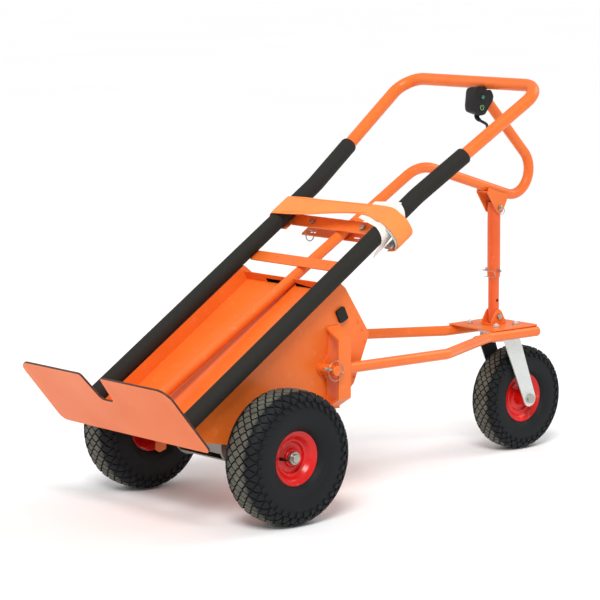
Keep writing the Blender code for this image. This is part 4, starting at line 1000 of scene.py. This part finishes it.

# %% [markdown]
# The control cable leaves the pod through a tapered boot and runs behind the side tube, where it
# goes in. The boot is a separate piece on it.

# %% Control cable
CABLE_S, CABLE_R = 1.105, 0.0035
BOOT_POINTS = 14
wall = on_frame(side_x(CABLE_S), CABLE_S, 0.0026)
along = (on_frame(side_x(1.2), 1.2, 0.0035) - wall).normalized()
into = square_to(Vector((-0.749, 0.663, -0.05)), along)
end = wall + into * 0.0162
stops = [yz(POD_Y - 0.0110, 0.8436, 0.0360), yz(POD_Y - 0.0110, 0.8392, 0.0360),
         yz(POD_Y - 0.0118, 0.8350, 0.0400), yz(POD_Y - 0.0135, 0.8305, 0.0520),
         yz(POD_Y - 0.0190, 0.8240, 0.0760), yz(0.7580, 0.8180, 0.1100),
         yz(0.7220, 0.8150, 0.1500), end + into * 0.020, end]
line = smooth_line(stops, 5)
bm = bmesh.new()
skin(bm, rings_along(line, CABLE_R, 16))
cable = place(plain("control_cable_fine", bm, CABLE, 60.0), "truck_frame", "cable",
              "control_cable")
boot_line = line[:BOOT_POINTS]
boot_sizes = [0.0068 - 0.0024 * (k / (BOOT_POINTS - 1)) + 0.0005 * (k % 2)
              for k in range(BOOT_POINTS)]
bm = bmesh.new()
skin(bm, rings_along(boot_line, boot_sizes, 18))
boot = place(plain("cable_boot", bm, CABLE, 50.0), "truck_frame", "cable")
cable_length = sum((b - a).length for a, b in zip(line, line[1:]))
bm = bmesh.new()
clip = on_frame(side_x(1.092), 1.092, 0.0025)
out = square_to(Vector((-0.10, -0.25, -1.0)), along)
skin(bm, rings_along([clip + out * h for h in (0.0146, 0.0160, 0.0174)],
                     [0.0032, 0.0030, 0.0018], 14))
place(plain("tube_plug", bm, ZINC, 50.0), "truck_frame", "zinc")
print("cable", round(cable_length, 3), "m")

# %% [markdown]
# A plain pale floor, a broad key and two soft lights, so that no shadow hides a joint. The
# camera stands well back with a long lens, so the truck shows little perspective, and everything
# is in focus.

# %% Floor, light and camera
bpy.ops.mesh.primitive_plane_add(size=60.0, location=(0, 0, 0))
floor = bpy.context.object
floor.name = "floor"
f = Mat("floor_white")
shade = f.noise(0.6, 2.0)
floor.data.materials.append(f.set(Base_Color=f.blend(shade, (0.93, 0.93, 0.93, 1.0),
                                                     (0.96, 0.96, 0.96, 1.0)), Roughness=0.9))


def area_light(name, place_at, target, size, power):
    data = bpy.data.lights.new(name, "AREA")
    data.shape = "DISK"
    data.size = size
    data.energy = power
    obj = bpy.data.objects.new(name, data)
    obj.location = place_at
    aim = Vector(target) - Vector(place_at)
    obj.rotation_euler = aim.to_track_quat("-Z", "Y").to_euler()
    bpy.context.scene.collection.objects.link(obj)


area_light("fill", (-3.4, -2.0, 2.4), (0, 0, 0.4), 3.0, 26.0)
area_light("rim", (1.0, 3.4, 3.2), (0, 0, 0.5), 2.6, 50.0)
sun = bpy.data.lights.new("key", "SUN")
sun.energy = 2.3
sun.angle = math.radians(24.0)
key = bpy.data.objects.new("key", sun)
key.rotation_euler = Vector((-1.2, 1.3, -1.9)).to_track_quat("-Z", "Y").to_euler()
bpy.context.scene.collection.objects.link(key)

world = bpy.data.worlds.new("studio")
bpy.context.scene.world = world
world.use_nodes = True
tree = world.node_tree
soft = tree.nodes["Background"]
soft.inputs["Color"].default_value = (1.0, 1.0, 1.0, 1.0)
soft.inputs["Strength"].default_value = 0.55
seen = tree.nodes.new("ShaderNodeBackground")
seen.inputs["Strength"].default_value = 1.0
seen.inputs["Color"].default_value = (1.0, 1.0, 1.0, 1.0)
ray = tree.nodes.new("ShaderNodeLightPath")
pick = tree.nodes.new("ShaderNodeMixShader")
tree.links.new(ray.outputs["Is Camera Ray"], pick.inputs[0])
tree.links.new(soft.outputs[0], pick.inputs[1])
tree.links.new(seen.outputs[0], pick.inputs[2])
tree.links.new(pick.outputs[0], tree.nodes["World Output"].inputs["Surface"])

camera_data = bpy.data.cameras.new("camera")
camera_data.lens = 151.5
camera_data.sensor_width = 36.0
camera_data.clip_end = 100.0
camera = bpy.data.objects.new("camera", camera_data)
camera.location = (4.3038, -3.5458 + Y_SHIFT, 1.2721)
camera.rotation_euler = (math.radians(90.0 - 8.224), 0.0, math.radians(48.508))
bpy.context.scene.collection.objects.link(camera)
scene = bpy.context.scene
scene.camera = camera
scene.render.resolution_x = 600
scene.render.resolution_y = 600
scene.view_settings.view_transform = "Standard"
print("camera set")
